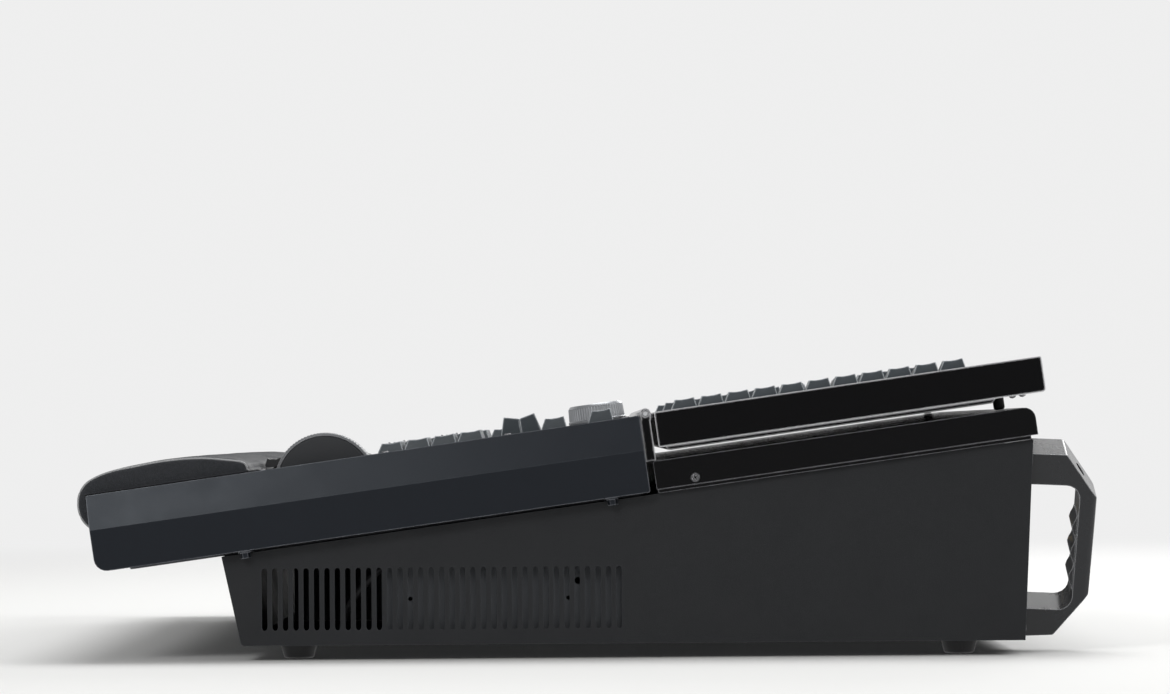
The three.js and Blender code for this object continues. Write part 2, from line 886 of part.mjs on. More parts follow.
function faderSlot({ x, start }, from, to, grow) {
  const f = faderSizes;
  const half = f.slotWidth / 2 + grow;
  const front = start - f.stemLength / 2 - fitGap - grow;
  const rear = start + f.travel + f.stemLength / 2 + fitGap + grow;
  return block([x - half, x + half], [front, rear], [from, to]);
}

// Track body under the panel; the slot is cut through the panel and on into it.
function faderTrack(column) {
  const f = faderSizes;
  const grow = f.trackWall;
  return faderSlot(column, -panelThickness - f.trackDepth, -panelThickness / 2, grow);
}

const wheelSizes = {
  slotGap: 1,
  earGap: 0.6,
  earWall: 2.5,
  earHalf: 9,
  axleRadius: 3,
  rimRound: 1.8,
  dish: 1,
  dishRadius: 14,
};

const axleSides = 16;
const wheelSides = 36;

function wheelEars() {
  const w = wheelSizes;
  const inner = wheelWidth / 2 + w.earGap;
  const ears = [-1, 1].map((side) => {
    const x = [wheelColumn + side * inner, wheelColumn + side * (inner + w.earWall)];
    return block(
      [Math.min(...x), Math.max(...x)],
      [wheelAlong - w.earHalf, wheelAlong + w.earHalf],
      [-wheelDepth - w.earHalf, -panelThickness / 2],
    );
  });
  return ears;
}

const ballSizes = {
  inset: 53.5,
  depth: 5,
  radius: 20,
  cupRadius: 25,
  cupDepth: 19,
};

const ballSides = 20;
const ballRings = 12;
const ballAlong = panelFront + ballSizes.inset;

const encoderSizes = {
  firstColumn: 24,
  pitch: 72,
  rearInset: 25,
  radius: 21,
  topRadius: 18.6,
  height: 13.5,
  shaftRadius: 3,
  bodyHalf: 7,
  bodyDepth: 9,
  dishRadius: 13,
  dishDepth: 1.2,
  draft: 0.6,
  shoulder: 1.5,
};

const encoderCount = 4;
const encoderSides = 24;
const shaftSides = 12;
const encoderAlong = panelRear - encoderSizes.rearInset;
const encoderColumns = Array.from(
  { length: encoderCount },
  (_, index) => encoderSizes.firstColumn + index * encoderSizes.pitch,
);

function trackballCup() {
  const b = ballSizes;
  const cup = [-b.cupDepth, -panelThickness / 2];
  return rodZ(b.cupRadius, trackballColumn, ballAlong, cup, ballSides);
}

function trackballHollow() {
  const b = ballSizes;
  const ball = new THREE.SphereGeometry(b.radius + fitGap * 2, ballSides, ballRings);
  return ball.rotateX(Math.PI / 2).translate(trackballColumn, ballAlong, -b.depth);
}

// Where the key banks start, from the panel's side, the trackball or the ends of the fader slots.
const bankSizes = {
  numberInset: 101,
  transportInset: 182,
  executorGap: 24,
};

const faderSlotEnd = panelFront + faderSizes.slotInset + faderSizes.travel + faderSizes.stemLength / 2;

// Banks of keys: the first key's middle, and how many columns and rows there are.
const keyBanks = {
  executor_keys: {
    x: faderFirst,
    along: faderSlotEnd + bankSizes.executorGap,
    columnCount: faderRestShares.length,
    rowCount: 2,
    pitchX: faderPitch,
  },
  number_keys: {
    x: panelHalf - bankSizes.numberInset,
    along: bankAlong,
    columnCount: 4,
    rowCount: bankRowCount,
    pitchX: keyPitch,
  },
  transport_keys: {
    x: trackballColumn - masterGap - bankSizes.transportInset,
    along: bankAlong,
    columnCount: 6,
    rowCount: bankRowCount,
    pitchX: keyPitch,
  },
};

const keySizes = {
  height: 6.5,
  topFront: 3.5,
  topBack: 1,
  topSide: 2.1,
  sag: 0.7,
  skirt: 0.6,
  plate: 1.2,
};

const keyCurveSteps = 3;

// Keys near the right edge: two tall rocker keys that dip towards each other, then two single keys.
const edgeSizes = {
  rockerCrest: 12.6,
  rockerValley: 10.1,
  rockerLean: 3.3,
  nearHeight: 7.5,
  farHeight: 8.3,
};

const edgeColumn = keyBanks.number_keys.x + (keyBanks.number_keys.columnCount - 1) * keyPitch;

function edgeWindows() {
  const half = keyWidth / 2 + fitGap;
  const x = [edgeColumn - half, edgeColumn + half];
  const up = [-panelThickness - overrun, overrun];
  const rockerFront = rockerAlong - rockerDepth - fitGap;
  return [
    block(x, [rockerFront, nearEdgeKey + half], up),
    block(x, [farEdgeKey - half, farEdgeKey + half], up),
  ];
}

// The edge keys on their carrier strip under the panel.
function edgeKeys() {
  const e = edgeSizes;
  const k = keySizes;
  const half = keyWidth / 2;
  const top = -panelThickness - fitGap;
  const low = top - k.plate;
  const x = [edgeColumn - half, edgeColumn + half];
  const strip = block(
    [x[0] - k.plate, x[1] + k.plate],
    [rockerAlong - rockerDepth - k.plate, farEdgeKey + half + k.plate],
    [low, top],
  );
  const rockers = [-1, 1].map((side) => {
    const inner = rockerAlong + (side * fitGap) / 2;
    const outer = rockerAlong + side * rockerDepth;
    const profile = outline([
      [inner, top - k.plate / 2],
      [outer, top - k.plate / 2],
      [outer, k.skirt],
      [outer - side * e.rockerLean, e.rockerCrest],
      [inner, e.rockerValley],
    ]);
    return prismX(profile, ...x);
  });
  const singles = [
    { along: nearEdgeKey, height: e.nearHeight },
    { along: farEdgeKey, height: e.farHeight },
  ].map(({ along, height }) =>
    keycap(top - k.plate / 2, k.skirt, height - k.skirt).translate(edgeColumn, along, 0),
  );
  return join(strip, ...rockers, ...singles);
}

function bankWindows(bank) {
  const half = keyWidth / 2 + fitGap;
  const depth = (bank.rowCount - 1) * keyPitch;
  const along = [bank.along - half, bank.along + depth + half];
  if (bank.pitchX === keyPitch) {
    const width = (bank.columnCount - 1) * bank.pitchX;
    const x = [bank.x - half, bank.x + width + half];
    return [block(x, along, [-panelThickness - overrun, overrun])];
  }
  return Array.from({ length: bank.columnCount }, (_, column) => {
    const x = bank.x + column * bank.pitchX;
    return block([x - half, x + half], along, [-panelThickness - overrun, overrun]);
  });
}

// Panel plate with the fader tracks, wheel ears, trackball cup and encoder bodies fixed under it.
function controlPanel() {
  const f = faderSizes;
  const w = wheelSizes;
  const b = ballSizes;
  const e = encoderSizes;
  const sheet = outline(rectangle([-panelHalf, panelHalf], [panelFront, panelRear]));
  const plate = prismZ(sheet, -panelThickness, 0);
  const bodies = encoderColumns.map((x) =>
    block(
      [x - e.bodyHalf, x + e.bodyHalf],
      [encoderAlong - e.bodyHalf, encoderAlong + e.bodyHalf],
      [-panelThickness - e.bodyDepth, -panelThickness / 2],
    ),
  );
  const whole = join(plate, trackballCup(), ...allFaders.map(faderTrack), ...wheelEars(), ...bodies);
  const slots = allFaders.map((column) =>
    faderSlot(column, -panelThickness - f.stemDepth - fitGap, overrun, 0),
  );
  const wheelHalf = wheelWidth / 2 + w.earGap;
  const chord = Math.sqrt(wheelRadius ** 2 - wheelDepth ** 2) + w.slotGap;
  const wheelSlot = block(
    [wheelColumn - wheelHalf, wheelColumn + wheelHalf],
    [wheelAlong - chord, wheelAlong + chord],
    [-panelThickness - overrun, overrun],
  );
  const earSpan = wheelHalf + w.earWall + overrun;
  const span = [wheelColumn - earSpan, wheelColumn + earSpan];
  const axle = rodX(w.axleRadius + fitGap, span, wheelAlong, -wheelDepth, axleSides);
  const drain = [-b.cupDepth - overrun, -b.depth];
  const ballDrain = rodZ(b.radius / 2, trackballColumn, ballAlong, drain, shaftSides);
  const shaft = [-panelThickness - e.bodyDepth / 2, overrun];
  const shafts = encoderColumns.map((x) =>
    rodZ(e.shaftRadius + fitGap, x, encoderAlong, shaft, shaftSides),
  );
  const windows = [...Object.values(keyBanks).flatMap(bankWindows), ...edgeWindows()];
  const holes = [wheelSlot, axle, trackballHollow(), ballDrain];
  return cut(whole, ...slots, ...holes, ...shafts, ...windows);
}

// Leather-covered pad that wraps the desk's front edge. Its profile runs along the slope and up.
const palmMargin = 4;
const palmHalf = deskTopHalf - palmMargin;
const palmSizes = {
  rise: 16.6,
  nose: 8.7,
  drop: 23.4,
  endRound: 9,
  crown: 0.9,
};

const palmEndSteps = 4;
const palmStations = 8;

// The pad's outer skin from its rear over the top and down its front. A place along the slope is
// a share of the reach, or of the nose where it is negative; a height is a share of the rise, or
// of the drop where it is negative.
const palmSkinShares = [
  [1, 0.3012],
  [0.993, 0.5542],
  [0.9634, 0.7108],
  [0.9127, 0.7952],
  [0.7888, 0.8795],
  [0.6571, 0.9578],
  [0.5236, 1],
  [0.4223, 0.988],
  [0.3211, 0.9398],
  [0.2199, 0.8976],
  [0.1195, 0.8494],
  [0.0297, 0.7229],
  [-0.2874, 0.506],
  [-0.6782, 0.2169],
  [-0.931, -0.1111],
  [-1, -0.3846],
  [-0.8736, -0.6667],
  [-0.5632, -0.8718],
  [-0.1839, -1],
];

// Where the pad lies on the desk: up its front face, then back along its top.
const palmSeatShares = { front: 0.52, near: 0.26, far: 0.61 };
const palmHubShare = 0.4;

// The pad's section as points along the slope and up from it, and which of them are free.
function palmSection() {
  const p = palmSizes;
  const skin = palmSkinShares.map(([along, up]) => ({
    along: along * (along < 0 ? p.nose : palmReach),
    up: up * (up < 0 ? p.drop : p.rise),
    free: true,
  }));
  const seat = [
    { along: -fitGap, up: fitGap - p.drop },
    { along: -fitGap, up: -p.drop * palmSeatShares.front },
    { along: -fitGap, up: fitGap },
    { along: palmReach * palmSeatShares.near, up: fitGap },
    { along: palmReach * palmSeatShares.far, up: fitGap },
    { along: palmReach - fitGap, up: fitGap },
  ];
  return [...skin, ...seat.map((place) => ({ ...place, free: false }))];
}

// The pad's sections shrink towards both ends, so that its sides draw in.
function palmRest() {
  const p = palmSizes;
  const places = palmSection();
  const middle = new THREE.Vector2(palmReach / 3, 0);
  const hub = new THREE.Vector2(-p.nose * palmHubShare, (p.rise * palmHubShare) / 2);
  const section = (x, draw, swell) =>
    places.map(({ along, up, free }) => {
      const point = new THREE.Vector2(along, up);
      const step = middle.clone().sub(point).setLength(free ? draw : 0);
      const lift = free && up > p.rise / 3 ? swell : 0;
      return new THREE.Vector3(x, along + step.x, up + step.y + lift);
    });
  const ends = Array.from({ length: palmEndSteps + 1 }, (_, step) => {
    const turn = (step / palmEndSteps) * (Math.PI / 2);
    const draw = (p.endRound * (1 - Math.sin(turn))) / 2;
    return { x: -palmHalf + p.endRound * (1 - Math.cos(turn)), draw, swell: 0 };
  });
  const reach = palmHalf - p.endRound;
  const middles = Array.from({ length: palmStations - 1 }, (_, step) => {
    const share = (step + 1) / palmStations;
    return { x: -reach + share * 2 * reach, draw: 0, swell: p.crown * Math.sin(share * Math.PI) };
  });
  const mirrored = ends.map(({ x, draw, swell }) => ({ x: -x, draw, swell })).reverse();
  const sections = [...ends, ...middles, ...mirrored];
  return loft(
    sections.map(({ x, draw, swell }) => section(x, draw, swell)),
    hub,
  );
}

// A closed skin over rings of equal point counts that follow one another along X, with each end
// closed by a fan of faces round a hub point that every point of the ring is in view of.
function loft(rings, hub) {
  const count = rings[0].length;
  const hubs = [rings[0][0].x, rings.at(-1)[0].x].map((x) => new THREE.Vector3(x, hub.x, hub.y));
  const places = [...rings.flat(), ...hubs].flatMap((point) => [point.x, point.y, point.z]);
  const faces = [];
  for (let ring = 0; ring < rings.length - 1; ring += 1) {
    for (let side = 0; side < count; side += 1) {
      const here = ring * count + side;
      const beside = ring * count + ((side + 1) % count);
      faces.push(here, beside, here + count, beside, beside + count, here + count);
    }
  }
  const last = (rings.length - 1) * count;
  for (let side = 0; side < count; side += 1) {
    const beside = (side + 1) % count;
    faces.push(last + count, beside, side, last + count + 1, last + side, last + beside);
  }
  const geometry = new THREE.BufferGeometry();
  geometry.setAttribute("position", new THREE.Float32BufferAttribute(places, 3));
  geometry.setIndex(faces);
  geometry.computeVertexNormals();
  return geometry;
}

// Level wheel on its own axle stubs, with a shallow dish round the hub of each face.
function levelWheel() {
  const w = wheelSizes;
  const half = wheelWidth / 2;
  const hub = wheelSizes.axleRadius * 2;
  const profile = [
    [0, -half - w.earWall],
    [w.axleRadius, -half - w.earWall],
    [w.axleRadius, -half],
    [hub, -half],
    [hub, -half + w.dish],
    [w.dishRadius, -half + w.dish],
    [w.dishRadius + w.dish, -half],
    [wheelRadius - w.rimRound, -half],
    [wheelRadius, -half + w.rimRound],
  ];
  const mirrored = profile.map(([radius, height]) => [radius, -height]).reverse();
  const wheel = turned([...profile, ...mirrored], wheelSides);
  return wheel.rotateY(Math.PI / 2).translate(wheelColumn, wheelAlong, -wheelDepth);
}

function trackball() {
  const b = ballSizes;
  const ball = new THREE.SphereGeometry(b.radius, ballSides, ballRings);
  return ball.rotateX(Math.PI / 2).translate(trackballColumn, ballAlong, -b.depth);
}

function encoder(x) {
  const e = encoderSizes;
  const low = fitGap;
  const knob = turned(
    [
      [0, -panelThickness - e.bodyDepth / 2 + fitGap],
      [e.shaftRadius, -panelThickness - e.bodyDepth / 2 + fitGap],
      [e.shaftRadius, low],
      [e.radius, low],
      [e.radius - e.draft, e.height - e.shoulder],
      [e.topRadius, e.height],
      [e.dishRadius, e.height],
      [e.dishRadius - e.dishDepth, e.height - e.dishDepth],
      [0, e.height - e.dishDepth],
    ],
    encoderSides,
  );
  return knob.translate(x, encoderAlong, 0);
}

// Fader cap: a waisted, ridged block on a flat stem. Its profile runs along the slope and up.
function fader({ x, start, rest }) {
  const f = faderSizes;
  const low = fitGap + f.capGap;
  const half = f.capLength / 2;
  const ridge = (half * 2 - f.capWaist * 2) / (f.ridgeCount * 2);
  const crest = Array.from({ length: f.ridgeCount * 2 + 1 }, (_, step) => {
    const along = half - f.capWaist - step * ridge;
    const dip = 1 - (along / half) ** 2;
    const notch = step % 2 === 1 ? f.capGap / 2 : 0;
    return [along, low + f.capHeight - dip * f.capWaist - notch];
  });
  const cap = outline([
    [-half, low],
    [half, low],
    [half, low + f.capWaist],
    ...crest,
    [-half, low + f.capWaist],
  ]);
  const body = prismX(cap, -f.capWidth / 2, f.capWidth / 2);
  const stem = block(
    [-f.stemWidth / 2, f.stemWidth / 2],
    [-f.stemLength / 2, f.stemLength / 2],
    [-panelThickness - f.stemDepth, low + f.capWaist / 2],
  );
  return join(body, stem).translate(x, start + rest, 0);
}

// Keycap: an upright skirt, sides that lean in and a top that sags along the slope.
function keycap(low, rise, height) {
  const k = keySizes;
  const half = keyWidth / 2;
  const topHalf = half - k.topSide;
  const square = (up) => [
    [half, -half, up],
    [half, half, up],
    [-half, half, up],
    [-half, -half, up],
  ];
  const crest = Array.from({ length: keyCurveSteps + 1 }, (_, step) => {
    const share = step / keyCurveSteps;
    const along = -half + k.topFront + share * (keyWidth - k.topFront - k.topBack);
    return [along, rise + height - 4 * k.sag * share * (1 - share)];
  });
  const right = crest.map(([along, up]) => [topHalf, along, up]);
  const left = crest.map(([along, up]) => [-topHalf, along, up]);
  const skirt = [...square(low), ...square(rise)];
  const places = [...skirt, ...right, ...left].flat();
  const firstRight = skirt.length;
  const firstLeft = firstRight + crest.length;
  const lastRight = firstLeft - 1;
  const lastLeft = firstLeft + keyCurveSteps;
  const faces = [3, 2, 1, 3, 1, 0];
  for (let side = 0; side < 4; side += 1) {
    const next = (side + 1) % 4;
    faces.push(side, next, next + 4, side, next + 4, side + 4);
  }
  faces.push(4, 5, lastRight, 6, 7, firstLeft);
  faces.push(5, 6, lastLeft, 5, lastLeft, lastRight, 7, 4, firstRight, 7, firstRight, firstLeft);
  for (let step = 0; step < keyCurveSteps; step += 1) {
    const here = firstRight + step;
    const across = firstLeft + step;
    faces.push(4, here + 1, here, 6, across, across + 1);
    faces.push(here, here + 1, across + 1, here, across + 1, across);
  }
  const geometry = new THREE.BufferGeometry();
  geometry.setAttribute("position", new THREE.Float32BufferAttribute(places, 3));
  geometry.setIndex(faces);
  return geometry;
}

// A bank of desk keys that stand on one carrier plate under the panel.
function keyBank(bank) {
  const k = keySizes;
  const half = keyWidth / 2;
  const top = -panelThickness - fitGap;
  const low = top - k.plate;
  const width = (bank.columnCount - 1) * bank.pitchX;
  const depth = (bank.rowCount - 1) * keyPitch;
  const reach = half + k.plate;
  const plate = block(
    [bank.x - reach, bank.x + width + reach],
    [bank.along - reach, bank.along + depth + reach],
    [low, top],
  );
  const caps = Array.from({ length: bank.columnCount * bank.rowCount }, (_, index) => {
    const column = index % bank.columnCount;
    const row = Math.floor(index / bank.columnCount);
    const cap = keycap(top - k.plate / 2, k.skirt, k.height - k.skirt);
    return cap.translate(bank.x + column * bank.pitchX, bank.along + row * keyPitch, 0);
  });
  return join(plate, ...caps);
}

// Rear cover: an inverted tray with a rounded rear edge and a rim turned in at its foot.
const coverSizes = {
  rim: 9,
  rimTurn: 1.4,
  screwRadius: 3.2,
  screwHead: 1.8,
  screwAlong: 27.8,
  screwDepth: 15.3,
  screwSides: 12,
};

function coverSide(inset, foot) {
  const rear = Math.max(coverRearRadius - inset, 0);
  const front = Math.max(coverEdgeRadius - inset, 0);
  return outline([
    [coverFrontAlong + inset, -coverTopDepth - inset, front],
    [coverFrontAlong + inset, -coverBottomDepth - foot],
    [coverRearAlong - inset, -coverBottomDepth - foot],
    [coverRearAlong - inset, -coverTopDepth - inset, rear],
  ]);
}

function rearCover() {
  const c = coverSizes;
  const inner = coverHalf - coverWall;
  const shell = prismX(coverSide(0, 0), -coverHalf, coverHalf);
  const hollow = prismX(coverSide(coverWall, overrun), -inner, inner);
  const footTop = -coverBottomDepth + c.rimTurn;
  const footLow = -baseTopDepth + fitGap;
  const rimHalf = inner - c.rim;
  const outer = block(
    [-inner - coverWall / 2, inner + coverWall / 2],
    [coverFrontAlong + coverWall / 2, baseRearAlong - coverWall],
    [footLow, footTop],
  );
  const hole = block(
    [-rimHalf, rimHalf],
    [coverFrontAlong + c.rim, coverRearAlong - c.rim * 2],
    [footLow - overrun, footTop + overrun],
  );
  const rim = cut(outer, hole);
  const screws = [-1, 1].map((side) =>
    rodX(
      c.screwRadius,
      side > 0 ? [inner, coverHalf + c.screwHead] : [-coverHalf - c.screwHead, -inner],
      coverFrontAlong + c.screwAlong,
      -coverTopDepth - c.screwDepth,
      c.screwSides,
    ),
  );
  return join(cut(shell, hollow), rim, ...screws);
}

// Hinge: knuckles of the fixed rail and of the wing take turns along one steel pin.

const hingeSizes = { boreGap: 0.3, railWidth: 7, railDrop: 4.3, webTop: 0.5, wall: 0.5 };
const barrelSides = 16;
const pinSides = 12;

function knuckleSpans(owner) {
  const length = (2 * hingeHalf - (knuckleCount - 1) * fitGap) / knuckleCount;
  return Array.from({ length: knuckleCount }, (_, index) => {
    const low = -hingeHalf + index * (length + fitGap);
    return [low, low + length];
  }).filter((_, index) => index % 2 === owner);
}

// The wing's own frame starts on the hinge line: along the wing, and up out of its screens.
function hingeRail() {
  const h = hingeSizes;
  const front = deskLength + fitGap - pivotAlong;
  const top = -h.railDrop;
  const low = -coverTopDepth + fitGap - pivotHeight;
  const bar = block([-hingeHalf, hingeHalf], [front, front + h.railWidth], [low, top]);
  const knuckles = knuckleSpans(0).flatMap((span) => [
    rodX(barrelRadius, span, 0, 0, barrelSides),
    block(span, [front + h.wall, barrelRadius - h.wall], [top - h.wall, 0]),
  ]);
  const bore = rodX(pinRadius + h.boreGap, [-hingeHalf - overrun, hingeHalf + overrun], 0, 0, pinSides);
  return cut(join(bar, ...knuckles), bore);
}

function hingePin() {
  return rodX(pinRadius, [-hingeHalf, hingeHalf], 0, 0, pinSides);
}

const wingSizes = {
  ledgeWidth: 3,
  backThickness: 1.6,
  channelWall: 1.6,
  channelFloor: 5.8,
  channelSkin: 1.6,
  padRise: 3,
  padNear: 8,
  padFarInset: 37.7,
  padInset: 6,
  padRadius: 3,
  domeRadius: 2.6,
  domeRise: 1.7,
  domeInset: 9,
  domeNear: 22.7,
  domeFar: 15.7,
};

const domeShares = { shoulder: 0.72, rise: 0.7 };

// Key columns run from the first key's near edge to the last one's far edge.
function channelSpan(grow) {
  const half = keyWidth / 2 + fitGap + grow;
  return [wingKeyInset - half, wingKeyInset + (wingKeyCount - 1) * keyPitch + half];
}

function channelBlocks(grow, low, high) {
  const half = keyWidth / 2 + fitGap + grow;
  return [-wingColumn, 0, wingColumn].map((x) =>
    block([x - half, x + half], channelSpan(grow), [low, high]),
  );
}

// Wing housing: open at the back, with two screen windows, three key channels and its hinge knuckles.
function wingFrame() {
  const w = wingSizes;
  const back = wingFront - wingThickness;
  const side = outline([
    [wingNear, back, wingTipRadius / 2],
    [wingFar, back, wingTipRadius],
    [wingFar, wingFront, wingTipRadius / 2],
    [wingNear, wingFront, wingTipRadius / 2],
  ]);
  const body = prismX(side, -wingHalf, wingHalf);
  const inner = wingHalf - wingWall;
  const along = [wingNear + wingWall, wingFar - wingWall];
  const lid = block([-inner, inner], along, [back - overrun, back + w.backThickness + fitGap]);
  const ledge = w.ledgeWidth;
  const pocket = block(
    [-inner + ledge, inner - ledge],
    [along[0] + ledge, along[1] - ledge],
    [back - overrun, wingFront - wingWall],
  );
  const troughLow = wingFront - w.channelFloor - w.channelSkin;
  const troughs = channelBlocks(w.channelWall, troughLow, wingFront - wingWall / 2);
  const channels = channelBlocks(0, wingFront - w.channelFloor, wingFront + overrun);
  const windows = [-1, 1].map((hand) => {
    const x = hand > 0 ? [screenInner, screenOuter] : [-screenOuter, -screenInner];
    return block(x, [screenNear, screenFar], [wingFront - wingWall - overrun, wingFront + overrun]);
  });
  const h = hingeSizes;
  const webs = knuckleSpans(1).flatMap((span) => [
    rodX(barrelRadius, span, 0, 0, barrelSides),
    block(span, [0, wingNear + h.wall], [-barrelRadius + h.wall, wingFront - h.webTop]),
  ]);
  const bore = rodX(pinRadius + h.boreGap, [-hingeHalf - overrun, hingeHalf + overrun], 0, 0, pinSides);
  const shell = cut(body, lid, pocket);
  return cut(join(shell, ...troughs, ...webs), ...channels, ...windows, bore);
}

// Back lid of the wing with its raised pad and domed screw heads.
function wingBack() {
  const w = wingSizes;
  const back = wingFront - wingThickness;
  const half = wingHalf - wingWall - fitGap;
  const along = [wingNear + wingWall + fitGap, wingFar - wingWall - fitGap];
  const lid = block([-half, half], along, [back, back + w.backThickness]);
  const padHalf = wingHalf - w.padInset;
  const padFar = wingFar - w.padFarInset;
  const pad = outline([
    [w.padNear + w.padRadius, back - w.padRise, w.padRadius],
    [padFar, back - w.padRise, w.padRadius],
    [padFar + w.padRise, back + w.backThickness / 2],
    [w.padNear + w.padRadius, back + w.backThickness / 2],
  ]);
  const domes = [wingFar - w.domeNear, wingFar - w.domeFar].flatMap((place) =>
    [-1, 0, 1].map((hand) => {
      const x = hand * (half - w.domeInset);
      const dome = turned(
        [
          [0, -w.backThickness / 2],
          [w.domeRadius, -w.backThickness / 2],
          [w.domeRadius, 0],
          [w.domeRadius * domeShares.shoulder, w.domeRise * domeShares.rise],
          [0, w.domeRise],
        ],
        pinSides,
      );
      return dome.rotateX(Math.PI).translate(x, place, back);
    }),
  );
  return join(lid, prismX(pad, -padHalf, padHalf), ...domes);
}

const moduleSizes = { recess: 0.5, depth: 9, rim: 6, edge: 1 };

// Touch screen module: glass that fills the window and a deeper flange behind the bezel.
function screen(hand) {
  const m = moduleSizes;
  const ends = [screenInner + fitGap, screenOuter - fitGap];
  const rims = [screenInner - m.rim, screenOuter + m.rim];
  const x = hand > 0 ? ends : [-ends[1], -ends[0]];
  const rimX = hand > 0 ? rims : [-rims[1], -rims[0]];
  const under = wingFront - wingWall - fitGap;
  const along = [screenNear + fitGap, screenFar - fitGap];
  const glass = block(x, along, [under - m.edge, wingFront - m.recess]);
  const flange = block(rimX, [screenNear - m.rim, screenFar + m.rim], [under - m.depth, under]);
  return join(glass, flange);
}

const bumperSizes = { radius: 4, crown: 1.6, farInset: 29.7, sideInset: 50 };
const bumperSides = 16;

// Rubber bumper between the wing's back and the rear cover.
function bumper(hand) {
  const b = bumperSizes;
  const back = wingFront - wingThickness;
  const reach = back - (-coverTopDepth - pivotHeight) - fitGap * 2;
  const dome = turned(
    [
      [0, 0],
      [b.radius, 0],
      [b.radius, reach - b.crown],
      [b.radius - b.crown / 2, reach - b.crown / 4],
      [b.radius / 2, reach],
      [0, reach],
    ],
    bumperSides,
  );
  const across = hand * (wingHalf - b.sideInset);
  return dome.rotateX(Math.PI).translate(across, wingFar - b.farInset, back - fitGap);
}

function wingKeycap() {
  const low = wingFront - wingSizes.channelFloor + fitGap + keyTravel;
  return keycap(low, wingFront + keySizes.skirt, keySizes.height - keySizes.skirt);
}

// A whole column of wing keys on one carrier strip.
function wingKeyColumn(x) {
  const low = wingFront - wingSizes.channelFloor + fitGap + keyTravel;
  const span = channelSpan(-fitGap);
  const half = keyWidth / 2;
  const strip = block([-half, half], span, [low, low + keySizes.plate]);
  const caps = Array.from({ length: wingKeyCount }, (_, index) =>
    wingKeycap().translate(0, wingKeyInset + index * keyPitch, 0),
  );
  return join(strip, ...caps).translate(x, 0, 0);
}

// The whole console, put together

function basePieces() {
  const group = new THREE.Group();
  group.add(
    piece("base_tray", baseTray(), "powderCoat"),
    piece("inner_chassis", innerChassis(), "zincSheet"),
    piece("inner_lead", innerLead(), "darkPlastic"),
    ...feet(),
  );
  const rear = rearFrame();
  rear.add(
    piece("rear_panel", rearPanel(), "powderCoat"),
    piece("socket_board", socketBoard(), "darkPlastic"),
    piece("power_inlet", powerInlet(), "darkPlastic"),
    handlePiece("handle_left", -1),
    handlePiece("handle_right", 1),
  );
  group.add(rear);
  return group;
}

function deskPieces() {
  const bankPieces = Object.entries(keyBanks).map(([name, bank]) =>
    piece(name, keyBank(bank), "keyPlastic"),
  );
  const encoderPieces = encoderColumns.map((x, index) =>
    piece(`encoder_${index + 1}`, encoder(x), "silver"),
  );
  const faderPieces = allFaders.map((column) => piece(column.name, fader(column), "darkPlastic"));
  return [
    piece("desk_tub", deskTub(), "powderCoat"),
    piece("bed_plate", bedPlate(), "zincSheet"),
    piece("control_panel", controlPanel(), "darkPlastic"),
    piece("palm_rest", palmRest(), "leatherette"),
    piece("level_wheel", levelWheel(), "darkPlastic"),
    piece("trackball", trackball(), "ballResin"),
    piece("rear_cover", rearCover(), "blackGloss"),
    ...encoderPieces,
    ...faderPieces,
    ...bankPieces,
    piece("edge_keys", edgeKeys(), "keyPlastic"),
  ];
}

function wingPieces() {
  const wing = new THREE.Group();
  wing.position.set(0, pivotAlong, pivotHeight);
  const keys = Array.from({ length: wingKeyCount }, (_, index) => {
    const name = `wing_key_${String(index + 1).padStart(2, "0")}`;
    const key = piece(name, wingKeycap(), "keyPlastic");
    key.position.set(wingColumn, wingKeyInset + index * keyPitch, 0);
    return key;
  });
  wing.add(
    piece("hinge_rail", hingeRail(), "darkPlastic"),
    piece("hinge_pin", hingePin(), "steel"),
    piece("wing_frame", wingFrame(), "blackGloss"),
    piece("wing_back", wingBack(), "blackGloss"),
    piece("screen_left", screen(-1), "screenGlass"),
    piece("screen_right", screen(1), "screenGlass"),
    piece("bumper_left", bumper(-1), "rubber"),
    piece("bumper_right", bumper(1), "rubber"),
    piece("wing_keys_left", wingKeyColumn(-wingColumn), "keyPlastic"),
    piece("wing_keys_middle", wingKeyColumn(0), "keyPlastic"),
    ...keys,
  );
  return wing;
}

function lightingConsole() {
  const deck = new THREE.Group();
  deck.position.set(0, deckOrigin.x, deckOrigin.y);
  deck.rotation.x = deckTilt;
  deck.add(...deskPieces(), wingPieces());
  const model = new THREE.Group();
  model.add(basePieces(), deck);
  model.updateMatrixWorld(true);
  const middle = new THREE.Box3().setFromObject(model, true).getCenter(new THREE.Vector3());
  model.position.set(0, -middle.y, 0);
  const whole = new THREE.Group();
  whole.name = "lighting_console";
  whole.add(model);
  return whole;
}

export default lightingConsole();
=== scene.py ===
import math

import bmesh
import bpy
from mathutils import Matrix, Vector


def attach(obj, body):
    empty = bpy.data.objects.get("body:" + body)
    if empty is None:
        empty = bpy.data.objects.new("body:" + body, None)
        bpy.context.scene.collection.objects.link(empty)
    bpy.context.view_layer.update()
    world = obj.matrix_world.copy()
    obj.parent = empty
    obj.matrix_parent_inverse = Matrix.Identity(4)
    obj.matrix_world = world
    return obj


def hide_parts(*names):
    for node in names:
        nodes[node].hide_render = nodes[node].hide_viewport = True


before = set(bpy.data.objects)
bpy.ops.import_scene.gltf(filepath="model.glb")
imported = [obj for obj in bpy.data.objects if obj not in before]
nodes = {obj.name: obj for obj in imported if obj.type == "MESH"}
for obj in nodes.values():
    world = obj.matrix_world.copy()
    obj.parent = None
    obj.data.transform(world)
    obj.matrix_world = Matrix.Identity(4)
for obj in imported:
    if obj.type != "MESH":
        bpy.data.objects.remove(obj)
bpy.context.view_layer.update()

MM = 0.001

